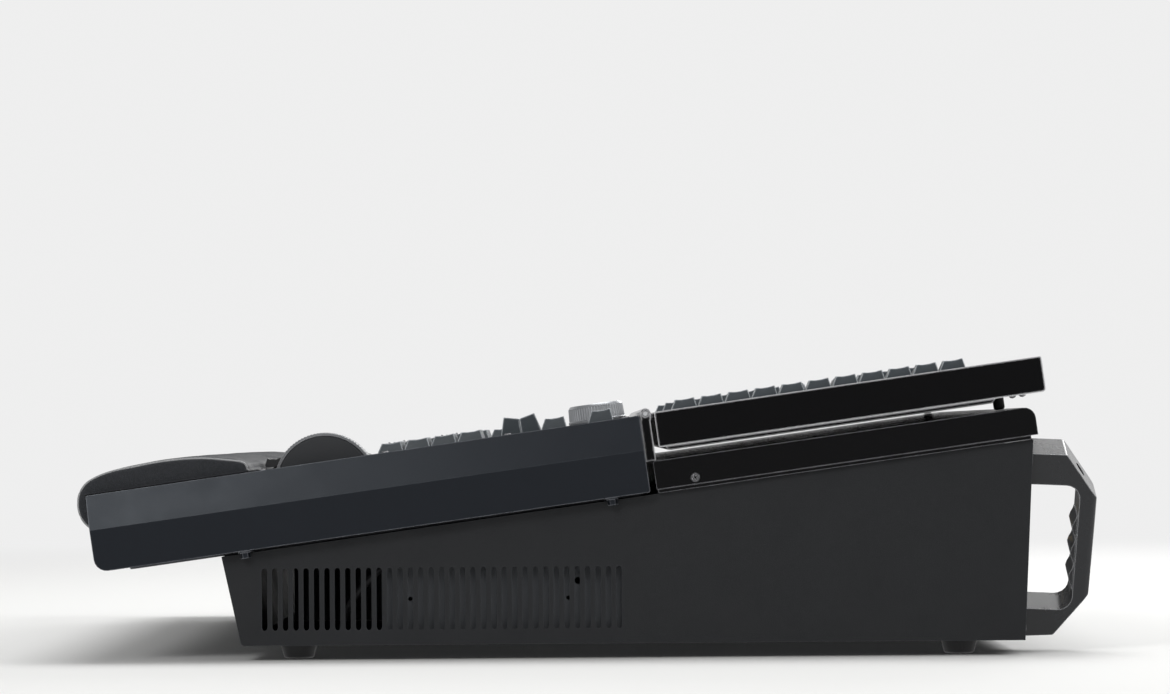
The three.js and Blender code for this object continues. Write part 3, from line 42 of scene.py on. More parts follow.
# The studio: a round pale floor that curves up into a pale wall all round, under four wide soft
# lamps. None of it is part of the console.
PAPER_COLOR = (0.80, 0.80, 0.79, 1)
BACKING_COLOR = (0.86, 0.86, 0.86, 1)
FLOOR_RADIUS = 11.0
CURVE_RADIUS = 2.5
WALL_HEIGHT = 7.0
LIT_RADIUS, BACKING_RADIUS = 0.9, 3.2
LAMPS = {
    "key_lamp": ((2.9, -1.2, 1.75), 1.1, 29),
    "rim_lamp": ((0.3, 2.5, 2.0), 1.6, 26),
    "top_lamp": ((-0.5, 0.2, 2.8), 2.0, 46),
    "left_lamp": ((-2.8, 0.9, 1.55), 1.6, 30),
}
LAMP_AIM = (0, 0, 0.1)
SKY_STRENGTH = 0.42


def set_values(node, **values):
    for name, value in values.items():
        node.inputs[name].default_value = value
    return node


def new_material(name):
    material = bpy.data.materials.new(name)
    material.use_nodes = True
    tree = material.node_tree
    return material, tree, tree.nodes["Principled BSDF"]


def link(tree, source, output, target, socket):
    tree.links.new(source.outputs[output], target.inputs[socket])


def math_node(tree, operation, first, second=0.5):
    node = tree.nodes.new("ShaderNodeMath")
    node.operation = operation
    for index, value in enumerate((first, second)):
        if isinstance(value, (int, float)):
            node.inputs[index].default_value = value
        else:
            tree.links.new(value, node.inputs[index])
    return node.outputs["Value"]


def made(name, places, faces, material):
    """A smooth-shaded mesh object from places in metres and faces, in one material."""
    mesh = bpy.data.meshes.new(name)
    mesh.from_pydata([tuple(place) for place in places], [], faces)
    mesh.materials.append(material)
    for face in mesh.polygons:
        face.use_smooth = True
    mesh.update()
    piece = bpy.data.objects.new(name, mesh)
    bpy.context.collection.objects.link(piece)
    return piece


def lathed(name, profile, sides, material, closed=True, flute=None):
    """A turned piece round its own Z axis. A flute gives each side and point its own reach."""
    places, faces = [], []
    for side in range(sides):
        angle = 2 * math.pi * side / sides
        for row, (radius, height) in enumerate(profile):
            reach = radius + (flute(side, row) if flute else 0)
            places.append((reach * math.cos(angle), reach * math.sin(angle), height))
    count = len(profile)
    rows = count if closed else count - 1
    for side in range(sides):
        here, there = side * count, (side + 1) % sides * count
        for row in range(rows):
            beyond = (row + 1) % count
            faces.append((here + row, there + row, there + beyond, here + beyond))
    piece = made(name, places, faces, material)
    cleaned = bmesh.new()
    cleaned.from_mesh(piece.data)
    bmesh.ops.remove_doubles(cleaned, verts=cleaned.verts, dist=1e-7)
    bmesh.ops.recalc_face_normals(cleaned, faces=cleaned.faces)
    cleaned.to_mesh(piece.data)
    cleaned.free()
    return piece


def paper_material():
    """Paper that is lit and shadowed round the console, and an even pale backing further off."""
    material, tree, shader = new_material("studio_paper")
    set_values(shader, **{"Base Color": PAPER_COLOR, "Roughness": 0.9, "Specular IOR Level": 0.2})
    backing = set_values(tree.nodes.new("ShaderNodeEmission"), Color=BACKING_COLOR, Strength=1.0)
    path = tree.nodes.new("ShaderNodeLightPath")
    place = tree.nodes.new("ShaderNodeTexCoord")
    reach = tree.nodes.new("ShaderNodeVectorMath")
    reach.operation = "LENGTH"
    link(tree, place, "Object", reach, "Vector")
    away = tree.nodes.new("ShaderNodeMapRange")
    away.interpolation_type = "SMOOTHSTEP"
    set_values(away, **{"From Min": LIT_RADIUS, "From Max": BACKING_RADIUS})
    link(tree, reach, "Value", away, "Value")
    seen = math_node(tree, "MULTIPLY", path.outputs["Is Camera Ray"], away.outputs["Result"])
    glossy, through = path.outputs["Is Glossy Ray"], path.outputs["Is Transmission Ray"]
    mirrored = math_node(tree, "MAXIMUM", glossy, through)
    mix = tree.nodes.new("ShaderNodeMixShader")
    tree.links.new(math_node(tree, "MAXIMUM", seen, mirrored), mix.inputs[0])
    tree.links.new(shader.outputs["BSDF"], mix.inputs[1])
    tree.links.new(backing.outputs["Emission"], mix.inputs[2])
    tree.links.new(mix.outputs["Shader"], tree.nodes["Material Output"].inputs["Surface"])
    return material


def studio_floor():
    flat = FLOOR_RADIUS - CURVE_RADIUS
    turns = [math.pi / 2 * step / 16 for step in range(17)]
    profile = [(0.0, 0.0), (1.0, 0.0), (3.0, 0.0)]
    profile += [(flat + CURVE_RADIUS * math.sin(a), CURVE_RADIUS * (1 - math.cos(a))) for a in turns]
    profile += [(FLOOR_RADIUS, WALL_HEIGHT)]
    floor = lathed("studio_floor", profile, 96, paper_material(), closed=False)


def studio_lamps():
    aim = Vector(LAMP_AIM)
    for name, (place, size, power) in LAMPS.items():
        light = bpy.data.lights.new(name, "AREA")
        light.shape = "DISK"
        light.size = size
        light.energy = power
        lamp = bpy.data.objects.new(name, light)
        bpy.context.collection.objects.link(lamp)
        lamp.location = place
        lamp.rotation_euler = (aim - Vector(place)).to_track_quat("-Z", "Y").to_euler()


def studio_world():
    """Even white light on the console, and a pale backing where the camera sees past the wall."""
    world = bpy.data.worlds.new("studio_world")
    world.use_nodes = True
    bpy.context.scene.world = world
    tree = world.node_tree
    light = set_values(tree.nodes["Background"], Color=(1, 1, 1, 1), Strength=SKY_STRENGTH)
    backing = set_values(tree.nodes.new("ShaderNodeBackground"), Color=BACKING_COLOR, Strength=1.0)
    path = tree.nodes.new("ShaderNodeLightPath")
    seen = tree.nodes.new("ShaderNodeMath")
    seen.operation = "MAXIMUM"
    link(tree, path, "Is Camera Ray", seen, 0)
    link(tree, path, "Is Transmission Ray", seen, 1)
    mix = tree.nodes.new("ShaderNodeMixShader")
    link(tree, seen, "Value", mix, 0)
    tree.links.new(light.outputs["Background"], mix.inputs[1])
    tree.links.new(backing.outputs["Background"], mix.inputs[2])
    tree.links.new(mix.outputs["Shader"], tree.nodes["World Output"].inputs["Surface"])


studio_floor()
studio_lamps()
studio_world()
bpy.context.scene.view_settings.view_transform = "Standard"

# The camera stands well off to the console's right and looks square at its side, low enough
# that the desk top is seen edge-on, with the slight roll and upward shift of the photograph.
PHOTO_WIDTH = 1170
SIDE_SCALE = 0.70 * MM
SIDE_PLANE = 0.387
CAMERA_DISTANCE = 3.2
CAMERA_Y = -0.0017
CAMERA_HEIGHT = 0.160
HORIZON_DROP = 83
CAMERA_ROLL = math.radians(-0.45)
SENSOR = 36.0

camera_data = bpy.data.cameras.new("side_camera")
camera_data.sensor_width = SENSOR
camera_data.lens = SENSOR * CAMERA_DISTANCE / (PHOTO_WIDTH * SIDE_SCALE)
camera_data.shift_y = HORIZON_DROP / PHOTO_WIDTH
camera_data.clip_end = 60
camera = bpy.data.objects.new("side_camera", camera_data)
bpy.context.collection.objects.link(camera)
turn = Matrix.Rotation(math.pi / 2, 4, "Z") @ Matrix.Rotation(math.pi / 2, 4, "X")
place = Matrix.Translation((SIDE_PLANE + CAMERA_DISTANCE, CAMERA_Y, CAMERA_HEIGHT))
camera.matrix_world = place @ turn @ Matrix.Rotation(CAMERA_ROLL, 4, "Z")
bpy.context.scene.camera = camera

# The base casing: folded steel sheet with an anthracite powder coat, louvred by a row of slots
# on each side. The rear panel is the same sheet, set in between the sides.
COAT_COLOR = (0.0135, 0.0145, 0.0165, 1)
COAT_EDGE = (0.06, 0.063, 0.07, 1)
SHEET_BEVEL = 0.5 * MM
DECK_TILT = math.radians(7.8)


def node_group(name, inputs, outputs):
    group = bpy.data.node_groups.new(name, "ShaderNodeTree")
    for label, kind, value in inputs:
        socket = group.interface.new_socket(label, in_out="INPUT", socket_type=kind)
        socket.default_value = value
    for label, kind in outputs:
        group.interface.new_socket(label, in_out="OUTPUT", socket_type=kind)
    return group, group.nodes.new("NodeGroupInput"), group.nodes.new("NodeGroupOutput")


def fine_grain_group():
    """Speckle and cloudiness of a sprayed or moulded surface, at a grain size in metres."""
    group, given, result = node_group(
        "fine_grain",
        [("Grain Size", "NodeSocketFloat", 0.0006), ("Cloud Size", "NodeSocketFloat", 0.05)],
        [("Height", "NodeSocketFloat"), ("Cloud", "NodeSocketFloat")],
    )
    place = group.nodes.new("ShaderNodeTexCoord")
    for size, output, detail in (("Grain Size", "Height", 2.0), ("Cloud Size", "Cloud", 4.0)):
        noise = set_values(group.nodes.new("ShaderNodeTexNoise"), Detail=detail, Roughness=0.55)
        group.links.new(place.outputs["Object"], noise.inputs["Vector"])
        group.links.new(math_node(group, "DIVIDE", 1.0, given.outputs[size]), noise.inputs["Scale"])
        group.links.new(noise.outputs["Fac"], result.inputs[output])
    return group


def edge_wear_and_highlight_group():
    """A mask that is bright along outer edges, broken up by noise: worn edges where hands and cases rub,
    and on some finishes a painted highlight line along the edges.
    """
    group, given, result = node_group(
        "edge_wear_and_highlight",
        [("Width", "NodeSocketFloat", 0.0012), ("Amount", "NodeSocketFloat", 0.5)],
        [("Mask", "NodeSocketFloat")],
    )
    geometry = group.nodes.new("ShaderNodeNewGeometry")
    bevel = group.nodes.new("ShaderNodeBevel")
    bevel.samples = 4
    group.links.new(given.outputs["Width"], bevel.inputs["Radius"])
    dot = group.nodes.new("ShaderNodeVectorMath")
    dot.operation = "DOT_PRODUCT"
    group.links.new(geometry.outputs["Normal"], dot.inputs[0])
    group.links.new(bevel.outputs["Normal"], dot.inputs[1])
    place = group.nodes.new("ShaderNodeTexCoord")
    noise = set_values(group.nodes.new("ShaderNodeTexNoise"), Scale=90.0, Detail=3.0)
    group.links.new(place.outputs["Object"], noise.inputs["Vector"])
    turned = math_node(group, "MULTIPLY", math_node(group, "SUBTRACT", 1.0, dot.outputs["Value"]), 6.0)
    broken = math_node(group, "MULTIPLY", turned, noise.outputs["Fac"])
    amount = math_node(group, "MULTIPLY", broken, given.outputs["Amount"])
    clamp = group.nodes.new("ShaderNodeClamp")
    group.links.new(amount, clamp.inputs["Value"])
    group.links.new(clamp.outputs["Result"], result.inputs["Mask"])
    return group


def smudge_group():
    """Hand grease and dust: a soft mask that lifts the roughness in drifting patches."""
    group, given, result = node_group(
        "smudge",
        [
            ("Patch Size", "NodeSocketFloat", 0.03),
            ("Low", "NodeSocketFloat", 0.2),
            ("High", "NodeSocketFloat", 0.4),
        ],
        [("Roughness", "NodeSocketFloat")],
    )
    place = group.nodes.new("ShaderNodeTexCoord")
    noise = set_values(group.nodes.new("ShaderNodeTexNoise"), Detail=5.0, Roughness=0.62, Distortion=0.4)
    group.links.new(place.outputs["Object"], noise.inputs["Vector"])
    group.links.new(math_node(group, "DIVIDE", 1.0, given.outputs["Patch Size"]), noise.inputs["Scale"])
    spread = group.nodes.new("ShaderNodeMapRange")
    set_values(spread, **{"From Min": 0.35, "From Max": 0.68})
    group.links.new(noise.outputs["Fac"], spread.inputs["Value"])
    group.links.new(given.outputs["Low"], spread.inputs["To Min"])
    group.links.new(given.outputs["High"], spread.inputs["To Max"])
    group.links.new(spread.outputs["Result"], result.inputs["Roughness"])
    return group


FINE_GRAIN = fine_grain_group()
EDGE_WEAR_AND_HIGHLIGHT = edge_wear_and_highlight_group()
SMUDGE = smudge_group()


def placed(tree, group, **values):
    node = tree.nodes.new("ShaderNodeGroup")
    node.node_tree = group
    for name, value in values.items():
        node.inputs[name.replace("_", " ")].default_value = value
    return node


def mixed_color(tree, factor, first, second):
    """A colour that goes from the first to the second as the factor rises."""
    mix = tree.nodes.new("ShaderNodeMix")
    mix.data_type = "RGBA"
    tree.links.new(factor, mix.inputs["Factor"])
    for socket, value in ((mix.inputs[6], first), (mix.inputs[7], second)):
        if isinstance(value, tuple):
            socket.default_value = value
        else:
            tree.links.new(value, socket)
    return mix.outputs[2]


def bumped(tree, shader, height, strength, distance):
    bump = set_values(tree.nodes.new("ShaderNodeBump"), Strength=strength, Distance=distance)
    tree.links.new(height, bump.inputs["Height"])
    link(tree, bump, "Normal", shader, "Normal")


def coated_material(
    name, color, edge, grain, rough, wear_and_highlight, depth, coat=0.0, metal=0.0, gloss=0.35, width=0.0012
):
    """A painted or moulded finish: grain bump, faint clouding, smudges, and edges mixed towards the edge
    colour, which is worn paint on some finishes and a painted highlight on others.
    """
    material, tree, shader = new_material(name)
    texture = placed(tree, FINE_GRAIN, Grain_Size=grain)
    wear_and_highlight_mask = placed(tree, EDGE_WEAR_AND_HIGHLIGHT, Amount=wear_and_highlight, Width=width)
    patches = placed(tree, SMUDGE, Low=rough[0], High=rough[1])
    darker = tuple(0.82 * channel for channel in color[:3]) + (1,)
    clouded = mixed_color(tree, texture.outputs["Cloud"], darker, color)
    shown = mixed_color(tree, wear_and_highlight_mask.outputs["Mask"], clouded, edge)
    tree.links.new(shown, shader.inputs["Base Color"])
    link(tree, patches, "Roughness", shader, "Roughness")
    bumped(tree, shader, texture.outputs["Height"], 0.55, depth)
    set_values(shader, **{"Coat Weight": coat, "Coat Roughness": 0.06})
    set_values(shader, **{"Metallic": metal, "Specular IOR Level": gloss})
    return material


def smooth_by_angle(limit, crease):
    """Shades faces smooth across the flatter edges. A fold that runs back along the desk stays crisp."""
    group = bpy.data.node_groups.new("smooth_by_angle", "GeometryNodeTree")
    group.interface.new_socket("Geometry", in_out="INPUT", socket_type="NodeSocketGeometry")
    group.interface.new_socket("Geometry", in_out="OUTPUT", socket_type="NodeSocketGeometry")
    given, result = group.nodes.new("NodeGroupInput"), group.nodes.new("NodeGroupOutput")
    faces = group.nodes.new("GeometryNodeSetShadeSmooth")
    edges = group.nodes.new("GeometryNodeSetShadeSmooth")
    faces.domain, edges.domain = "FACE", "EDGE"
    edges.inputs["Shade Smooth"].default_value = False
    angle = group.nodes.new("GeometryNodeInputMeshEdgeAngle").outputs["Unsigned Angle"]
    ends = group.nodes.new("GeometryNodeInputMeshEdgeVertices")
    span = group.nodes.new("ShaderNodeVectorMath")
    span.operation = "SUBTRACT"
    group.links.new(ends.outputs["Position 1"], span.inputs[0])
    group.links.new(ends.outputs["Position 2"], span.inputs[1])
    parts = group.nodes.new("ShaderNodeSeparateXYZ")
    group.links.new(span.outputs["Vector"], parts.inputs["Vector"])
    across = math_node(group, "ABSOLUTE", parts.outputs["X"])
    back = math_node(group, "ABSOLUTE", parts.outputs["Y"])
    runs_back = math_node(group, "GREATER_THAN", back, across)
    bent = math_node(group, "GREATER_THAN", angle, crease)
    fold = math_node(group, "MULTIPLY", runs_back, bent)
    sharp = math_node(group, "MAXIMUM", math_node(group, "GREATER_THAN", angle, limit), fold)
    group.links.new(sharp, edges.inputs["Selection"])
    group.links.new(given.outputs["Geometry"], faces.inputs["Geometry"])
    group.links.new(faces.outputs["Geometry"], edges.inputs["Geometry"])
    group.links.new(edges.outputs["Geometry"], result.inputs["Geometry"])
    return group


CURVE_LIMIT = math.radians(32)
SMOOTH = smooth_by_angle(CURVE_LIMIT, math.radians(180))
CREASED = smooth_by_angle(CURVE_LIMIT, math.radians(12))


def soften(piece, bevel, segments=2, shading=SMOOTH):
    """Welds the faceted skin, rounds its edges, shades its curves smooth and keeps its flats flat."""
    weld = piece.modifiers.new("weld", "WELD")
    weld.merge_threshold = 0.00001
    if bevel:
        round_off = piece.modifiers.new("edge_round", "BEVEL")
        round_off.width = bevel
        round_off.segments = segments
        round_off.limit_method = "ANGLE"
        round_off.angle_limit = math.radians(34)
        round_off.harden_normals = False
        round_off.use_clamp_overlap = True
    shade = piece.modifiers.new("smooth", "NODES")
    shade.node_group = shading
    flats = piece.modifiers.new("flat_faces", "WEIGHTED_NORMAL")
    flats.keep_sharp = True


def dress(name, material, bevel=SHEET_BEVEL, segments=2, shading=SMOOTH):
    piece = nodes[name]
    piece.data.materials.clear()
    piece.data.materials.append(material)
    soften(piece, bevel, segments, shading)


POWDER_COAT = coated_material(
    "powder_coat", COAT_COLOR, COAT_EDGE,
    grain=0.0009, rough=(0.46, 0.58), wear_and_highlight=0.35, depth=0.00012, gloss=0.25,
)
for name in ("base_tray", "rear_panel"):
    dress(name, POWDER_COAT, 0.35 * MM, 1)

# Feet: four turned black rubber pads under the base, each held by a screw that is sunk in its
# recess.
RUBBER = coated_material(
    "black_rubber", (0.022, 0.022, 0.023, 1), (0.07, 0.07, 0.07, 1),
    grain=0.0007, rough=(0.6, 0.75), wear_and_highlight=0.5, depth=0.00008,
)
for corner in ("front_left", "front_right", "rear_left", "rear_right"):
    dress(f"foot_{corner}", RUBBER, 0.6 * MM)

# Behind the slots: the computer's chassis of folded grey sheet and the plastic-skinned lead that
# climbs to it. The bed plate under the desk is the same sheet, screwed between desk and base.
GREY_SHEET = coated_material(
    "grey_sheet", (0.085, 0.09, 0.098, 1), (0.2, 0.2, 0.21, 1),
    grain=0.002, rough=(0.45, 0.6), wear_and_highlight=0.3, depth=0.00002, metal=0.4, gloss=0.3,
)
LEAD_SKIN = coated_material(
    "lead_skin", (0.03, 0.03, 0.032, 1), (0.05, 0.05, 0.05, 1),
    grain=0.001, rough=(0.5, 0.6), wear_and_highlight=0.0, depth=0.00003,
)
dress("inner_chassis", GREY_SHEET, 0)
dress("inner_lead", LEAD_SKIN, 0)
dress("bed_plate", GREY_SHEET, 0.2 * MM, 1)

# Connectors at the back: moulded black sockets and a mains inlet on a board behind the panel.
# Gold spring contacts stand in each network socket, and pan-head screws hold the panel.
BLACK_PLASTIC = coated_material(
    "black_plastic", (0.022, 0.023, 0.025, 1), (0.05, 0.05, 0.052, 1),
    grain=0.0005, rough=(0.32, 0.46), wear_and_highlight=0.3, depth=0.00003,
)
dress("socket_board", BLACK_PLASTIC, 0.25 * MM, 1)
dress("power_inlet", BLACK_PLASTIC, 0.25 * MM, 1)
BLACK_STEEL = coated_material(
    "blackened_steel", (0.10, 0.10, 0.105, 1), (0.4, 0.4, 0.41, 1),
    grain=0.0004, rough=(0.26, 0.38), wear_and_highlight=0.8, depth=0.00001, metal=1.0,
)
GOLD = coated_material(
    "contact_gold", (0.72, 0.5, 0.2, 1), (0.85, 0.66, 0.34, 1),
    grain=0.0006, rough=(0.2, 0.3), wear_and_highlight=0.3, depth=0.000005, metal=1.0,
)
REAR_FOOT = (305.545, 10.5)
REAR_LEAN = math.radians(2.6484)
ROUND_SOCKETS = [40 + 40 * number for number in range(6)]
NET_SOCKETS = [40 + 26 * number for number in range(3)]
REAR_SCREWS = [(across, 8) for across in (-372, -190, 0, 190, 372)]
REAR_SCREWS += [(across, 128) for across in (-325, -190, 0, 190, 325)]
INLET_SCREWS = [(-282, 60), (-242, 60)]
SOCKET_HEIGHT = 88
WIRES_PER_SOCKET, WIRE_PITCH, WIRE_HALF = 8, 1.05, 0.3
PINS_PER_SOCKET, PIN_STEP, PIN_CIRCLE = 5, 60, 5.0
PIN_SLEEVE = [(0.7, 0.0), (1.3, 0.0), (1.3, 0.15), (1.1, 0.3), (0.7, 0.2)]
INLET_FLANGE = 2.8


def rear(across, out, up):
    """A place on the leaning rear panel, from millimetres across, out of its face and up along it."""
    y = REAR_FOOT[0] + up * math.sin(REAR_LEAN) + out * math.cos(REAR_LEAN)
    z = REAR_FOOT[1] + up * math.cos(REAR_LEAN) - out * math.sin(REAR_LEAN)
    return Vector((across, y, z)) * MM


def screw_head(name, radius, height):
    """A domed screw head with a cross recess, standing on the origin."""
    profile = [
        (0.0, 0.0),
        (radius, 0.0),
        (radius, height * 0.3),
        (radius * 0.92, height * 0.66),
        (radius * 0.76, height * 0.9),
        (radius * 0.6, height),
        (radius * 0.54, height * 0.3),
        (0.0, height * 0.3),
    ]

    def cross(step, row):
        return -radius * 0.38 if row in (5, 6) and step % 12 > 3 else 0

    head = lathed(name, profile, 48, BLACK_STEEL, closed=False, flute=cross)
    soften(head, 0)
    return head


def on_rear(piece, across, out, up):
    """Stands a piece made upright on the rear panel's face."""
    outward = Matrix.Rotation(-math.pi / 2 - REAR_LEAN, 4, "X")
    piece.matrix_world = Matrix.Translation(rear(across, out, up)) @ outward


def strip(low, high):
    """Corners and faces of a thin metal strip between two opposite corners."""
    corners = [Vector((x, y, z)) for x in (low.x, high.x) for y in (low.y, high.y) for z in (low.z, high.z)]
    faces = [(0, 1, 3, 2), (4, 6, 7, 5), (0, 4, 5, 1), (2, 3, 7, 6), (0, 2, 6, 4), (1, 5, 7, 3)]
    return corners, faces


def gathered(name, parts, material):
    """One piece from many sets of corners and faces."""
    places, faces = [], []
    for corners, skin in parts:
        start = len(places)
        places += corners
        faces += [tuple(start + corner for corner in face) for face in skin]
    return made(name, places, faces, material)


def socket_contacts():
    parts = []
    for middle in NET_SOCKETS:
        for wire in range(WIRES_PER_SOCKET):
            across = middle + (wire - (WIRES_PER_SOCKET - 1) / 2) * WIRE_PITCH
            low, high = rear(across - WIRE_HALF, -11.5, 48.0), rear(across + WIRE_HALF, -1.2, 48.4)
            parts.append(strip(low, high))
    wires = gathered("network_contacts", parts, GOLD)
    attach(wires, "housing")
    sleeve = [(radius * MM, height * MM) for radius, height in PIN_SLEEVE]
    for number, middle in enumerate(ROUND_SOCKETS, 1):
        for pin in range(PINS_PER_SOCKET):
            turn = math.radians(90 + PIN_STEP * (pin - 2))
            ring = lathed(f"socket_{number}_pin_{pin + 1}", sleeve, 20, GOLD)
            across, up = PIN_CIRCLE * math.cos(turn), PIN_CIRCLE * math.sin(turn)
            on_rear(ring, middle + across, 0, SOCKET_HEIGHT + up)
            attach(ring, "housing")


socket_contacts()
for number, (across, up) in enumerate(REAR_SCREWS + INLET_SCREWS, 1):
    head = screw_head(f"rear_screw_{number:02d}", 3.0 * MM, 1.6 * MM)
    on_rear(head, across, INLET_FLANGE if (across, up) in INLET_SCREWS else 0, up)
    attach(head, "housing")

# Carrying handles: thick cast bars with finger ridges inside, coated in a satin dark grey. Each
# leans out at the top and is held by a long screw, whose head lies sunk in the upper slope.
# The pale edge colour is a painted highlight along the handles' edges.
HANDLE_COAT = coated_material(
    "handle_coat", (0.012, 0.013, 0.0155, 1), (0.5, 0.51, 0.53, 1),
    grain=0.0006, rough=(0.26, 0.34), wear_and_highlight=1.2, depth=0.00002, coat=0.5, gloss=0.2,
)
for side in ("left", "right"):
    dress(f"handle_{side}", HANDLE_COAT, 0.6 * MM)
HANDLE_FOOT = (319.42, 0.3, 5.47)
HANDLE_LEAN = math.radians(20)
SLOPE_MIDDLE, SLOPE_TURN, SCREW_SUNK = (36.25, 122.85), math.radians(-53.96), -6
for hand, side in (("left", -1), ("right", 1)):
    head = screw_head(f"handle_screw_{hand}", 4.6 * MM, 3.4 * MM)
    seat = Matrix.Rotation(side * HANDLE_LEAN, 4, "Y") @ Matrix.Translation(Vector((0, *SLOPE_MIDDLE)) * MM)
    seat = seat @ Matrix.Rotation(SLOPE_TURN, 4, "X") @ Matrix.Translation((0, 0, SCREW_SUNK * MM))
    across, out, up = HANDLE_FOOT
    foot = Matrix.Translation(rear(side * across, out, up)) @ Matrix.Rotation(-REAR_LEAN, 4, "X")
    head.matrix_world = foot @ seat
    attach(head, "housing")

# The desk tub: a folded steel shell, creased along its side, with a smoother and bluer coat than
# the base. Its upper facet leans in and catches the light; screws and washers hold it from below.
# The pale edge colour is a painted highlight line along the tub's edges.
DESK_COAT = coated_material(
    "desk_coat", (0.0075, 0.009, 0.013, 1), (0.3, 0.31, 0.34, 1),
    grain=0.0009, rough=(0.28, 0.34), wear_and_highlight=0.7, depth=0.00006, gloss=0.22,
)
set_values(DESK_COAT.node_tree.nodes["Principled BSDF"], **{"Specular Tint": (0.86, 0.93, 1.0, 1)})
dress("desk_tub", DESK_COAT, 0.5 * MM, 2, CREASED)

# The desk plate: a flat steel panel with a fine matt black coat, pierced for faders, keys,
# knobs, wheel and ball.
PANEL_COAT = coated_material(
    "panel_coat", (0.03, 0.031, 0.034, 1), (0.08, 0.08, 0.085, 1),
    grain=0.0005, rough=(0.5, 0.6), wear_and_highlight=0.3, depth=0.00004,
)
dress("control_panel", PANEL_COAT, 0.25 * MM, 1)
DECK_ORIGIN = (-351.133, 116.7)
PANEL_SCREWS = [(side * 379.5, along) for side in (-1, 1) for along in (124, 211, 298, 381)]
PANEL_SCREWS += [(across, 383) for across in (-300, -190, -80, 60, 204, 305)]


def deck(across, along, up):
    """A place on the sloped desk, from millimetres across, along the slope and square up from it."""
    y = DECK_ORIGIN[0] + along * math.cos(DECK_TILT) - up * math.sin(DECK_TILT)
    z = DECK_ORIGIN[1] + along * math.sin(DECK_TILT) + up * math.cos(DECK_TILT)
    return Vector((across, y, z)) * MM


def on_deck(piece, across, along, up, spin=None):
    """Stands a piece made upright on the desk, square to its slope."""
    stand = Matrix.Translation(deck(across, along, up)) @ Matrix.Rotation(DECK_TILT, 4, "X")
    piece.matrix_world = stand @ spin if spin else stand


for number, (across, along) in enumerate(PANEL_SCREWS, 1):
    head = screw_head(f"panel_screw_{number:02d}", 2.4 * MM, 0.9 * MM)
    on_deck(head, across, along, 0)
    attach(head, "housing")

# Keycaps: moulded blue-grey plastic with a fine satin grain, pushed on stems that come up
# through the desk plate and the wing. Their edges are painted pale as a highlight.
KEY_PLASTIC = coated_material(
    "key_plastic", (0.05, 0.062, 0.072, 1), (0.75, 0.79, 0.83, 1),
    grain=0.0004, rough=(0.38, 0.5), wear_and_highlight=2.6, depth=0.000025, width=0.0015,
)
KEY_NODES = ["executor_keys", "number_keys", "transport_keys", "edge_keys"]
KEY_NODES += ["wing_keys_left", "wing_keys_middle"]
KEY_NODES += [f"wing_key_{number:02d}" for number in range(1, 12)]
for name in KEY_NODES:
    dress(name, KEY_PLASTIC, 0.35 * MM)

# Faders: moulded black ridged caps pushed on flat stems that slide in slots. A pale scale is
# printed beside each slot, and a pale line runs across each cap.
FADER_PLASTIC = coated_material(
    "fader_plastic", (0.028, 0.029, 0.031, 1), (0.12, 0.12, 0.125, 1),
    grain=0.0004, rough=(0.35, 0.48), wear_and_highlight=0.8, depth=0.00003,
)
FADER_NODES = [f"fader_{number}" for number in range(1, 9)] + ["master_fader_a", "master_fader_b"]
for name in FADER_NODES:
    dress(name, FADER_PLASTIC, 0.25 * MM)
PALE_INK = coated_material(
    "pale_ink", (0.5, 0.51, 0.52, 1), (0.6, 0.6, 0.6, 1),
    grain=0.0006, rough=(0.5, 0.6), wear_and_highlight=0.0, depth=0.00002,
)
FADER_RESTS = (42, 42, 84, 0, 42, 0, 84, 42)
FADER_PLACES = [(-350 + 34.0005 * number, 158, rest) for number, rest in enumerate(FADER_RESTS)]
FADER_PLACES += [(196, 124.3, 0), (222, 124.3, 0)]
TICKS, TICK_STEP = 21, 5
TICK_NEAR, TICK_HALF, INK_LIFT = 6.6, 0.18, 0.03
LONG_TICK, MIDDLE_TICK, SHORT_TICK = 10.5, 9.0, 8.0
CAP_HALF = 5.9
CAP_LINE = [(-0.55, 6.5), (-0.42, 6.95), (0.42, 6.95), (0.55, 6.5)]


def fader_marks():
    ticks = []
    for across, start, rest in FADER_PLACES:
        for step in range(TICKS):
            reach = LONG_TICK if step % 10 == 0 else MIDDLE_TICK if step % 2 == 0 else SHORT_TICK
            along = start + TICK_STEP * step
            for side in (-1, 1):
                near, far = side * TICK_NEAR, side * reach
                row = [(near, -TICK_HALF), (far, -TICK_HALF), (far, TICK_HALF), (near, TICK_HALF)]
                corners = [deck(across + x, along + y, INK_LIFT) for x, y in row]
                ticks.append((corners, [(0, 1, 2, 3)] if side > 0 else [(3, 2, 1, 0)]))
    scale = gathered("fader_scales", ticks, PALE_INK)
    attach(scale, "housing")
    for name, (across, start, rest) in zip(FADER_NODES, FADER_PLACES):
        middle = start + rest
        ends = [[deck(across + x, middle + y, up) for y, up in CAP_LINE] for x in (-CAP_HALF, CAP_HALF)]
        sides = [(0, 1, 5, 4), (1, 2, 6, 5), (2, 3, 7, 6), (3, 0, 4, 7), (3, 2, 1, 0), (4, 5, 6, 7)]
        line = gathered(f"{name}_line", [(ends[0] + ends[1], sides)], PALE_INK)
        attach(line, name)


fader_marks()

# Hinge: a turned steel pin through alternating knuckles of a rail on the base and of the wing's
# frame, both in gloss black.
STEEL = coated_material(
    "turned_steel", (0.55, 0.56, 0.57, 1), (0.7, 0.7, 0.7, 1),
    grain=0.0004, rough=(0.2, 0.32), wear_and_highlight=0.2, depth=0.00001, metal=1.0,
)
# The gloss black's pale edge colour is a painted highlight line along its edges.
GLOSS_BLACK = coated_material(
    "black_gloss", (0.002, 0.002, 0.0025, 1), (0.85, 0.85, 0.88, 1),
    grain=0.0014, rough=(0.12, 0.2), wear_and_highlight=3.0, depth=0.00002, gloss=0.08, width=0.002,
)
dress("hinge_rail", GLOSS_BLACK, 0.2 * MM, 1)
dress("hinge_pin", STEEL, 0.2 * MM, 1)

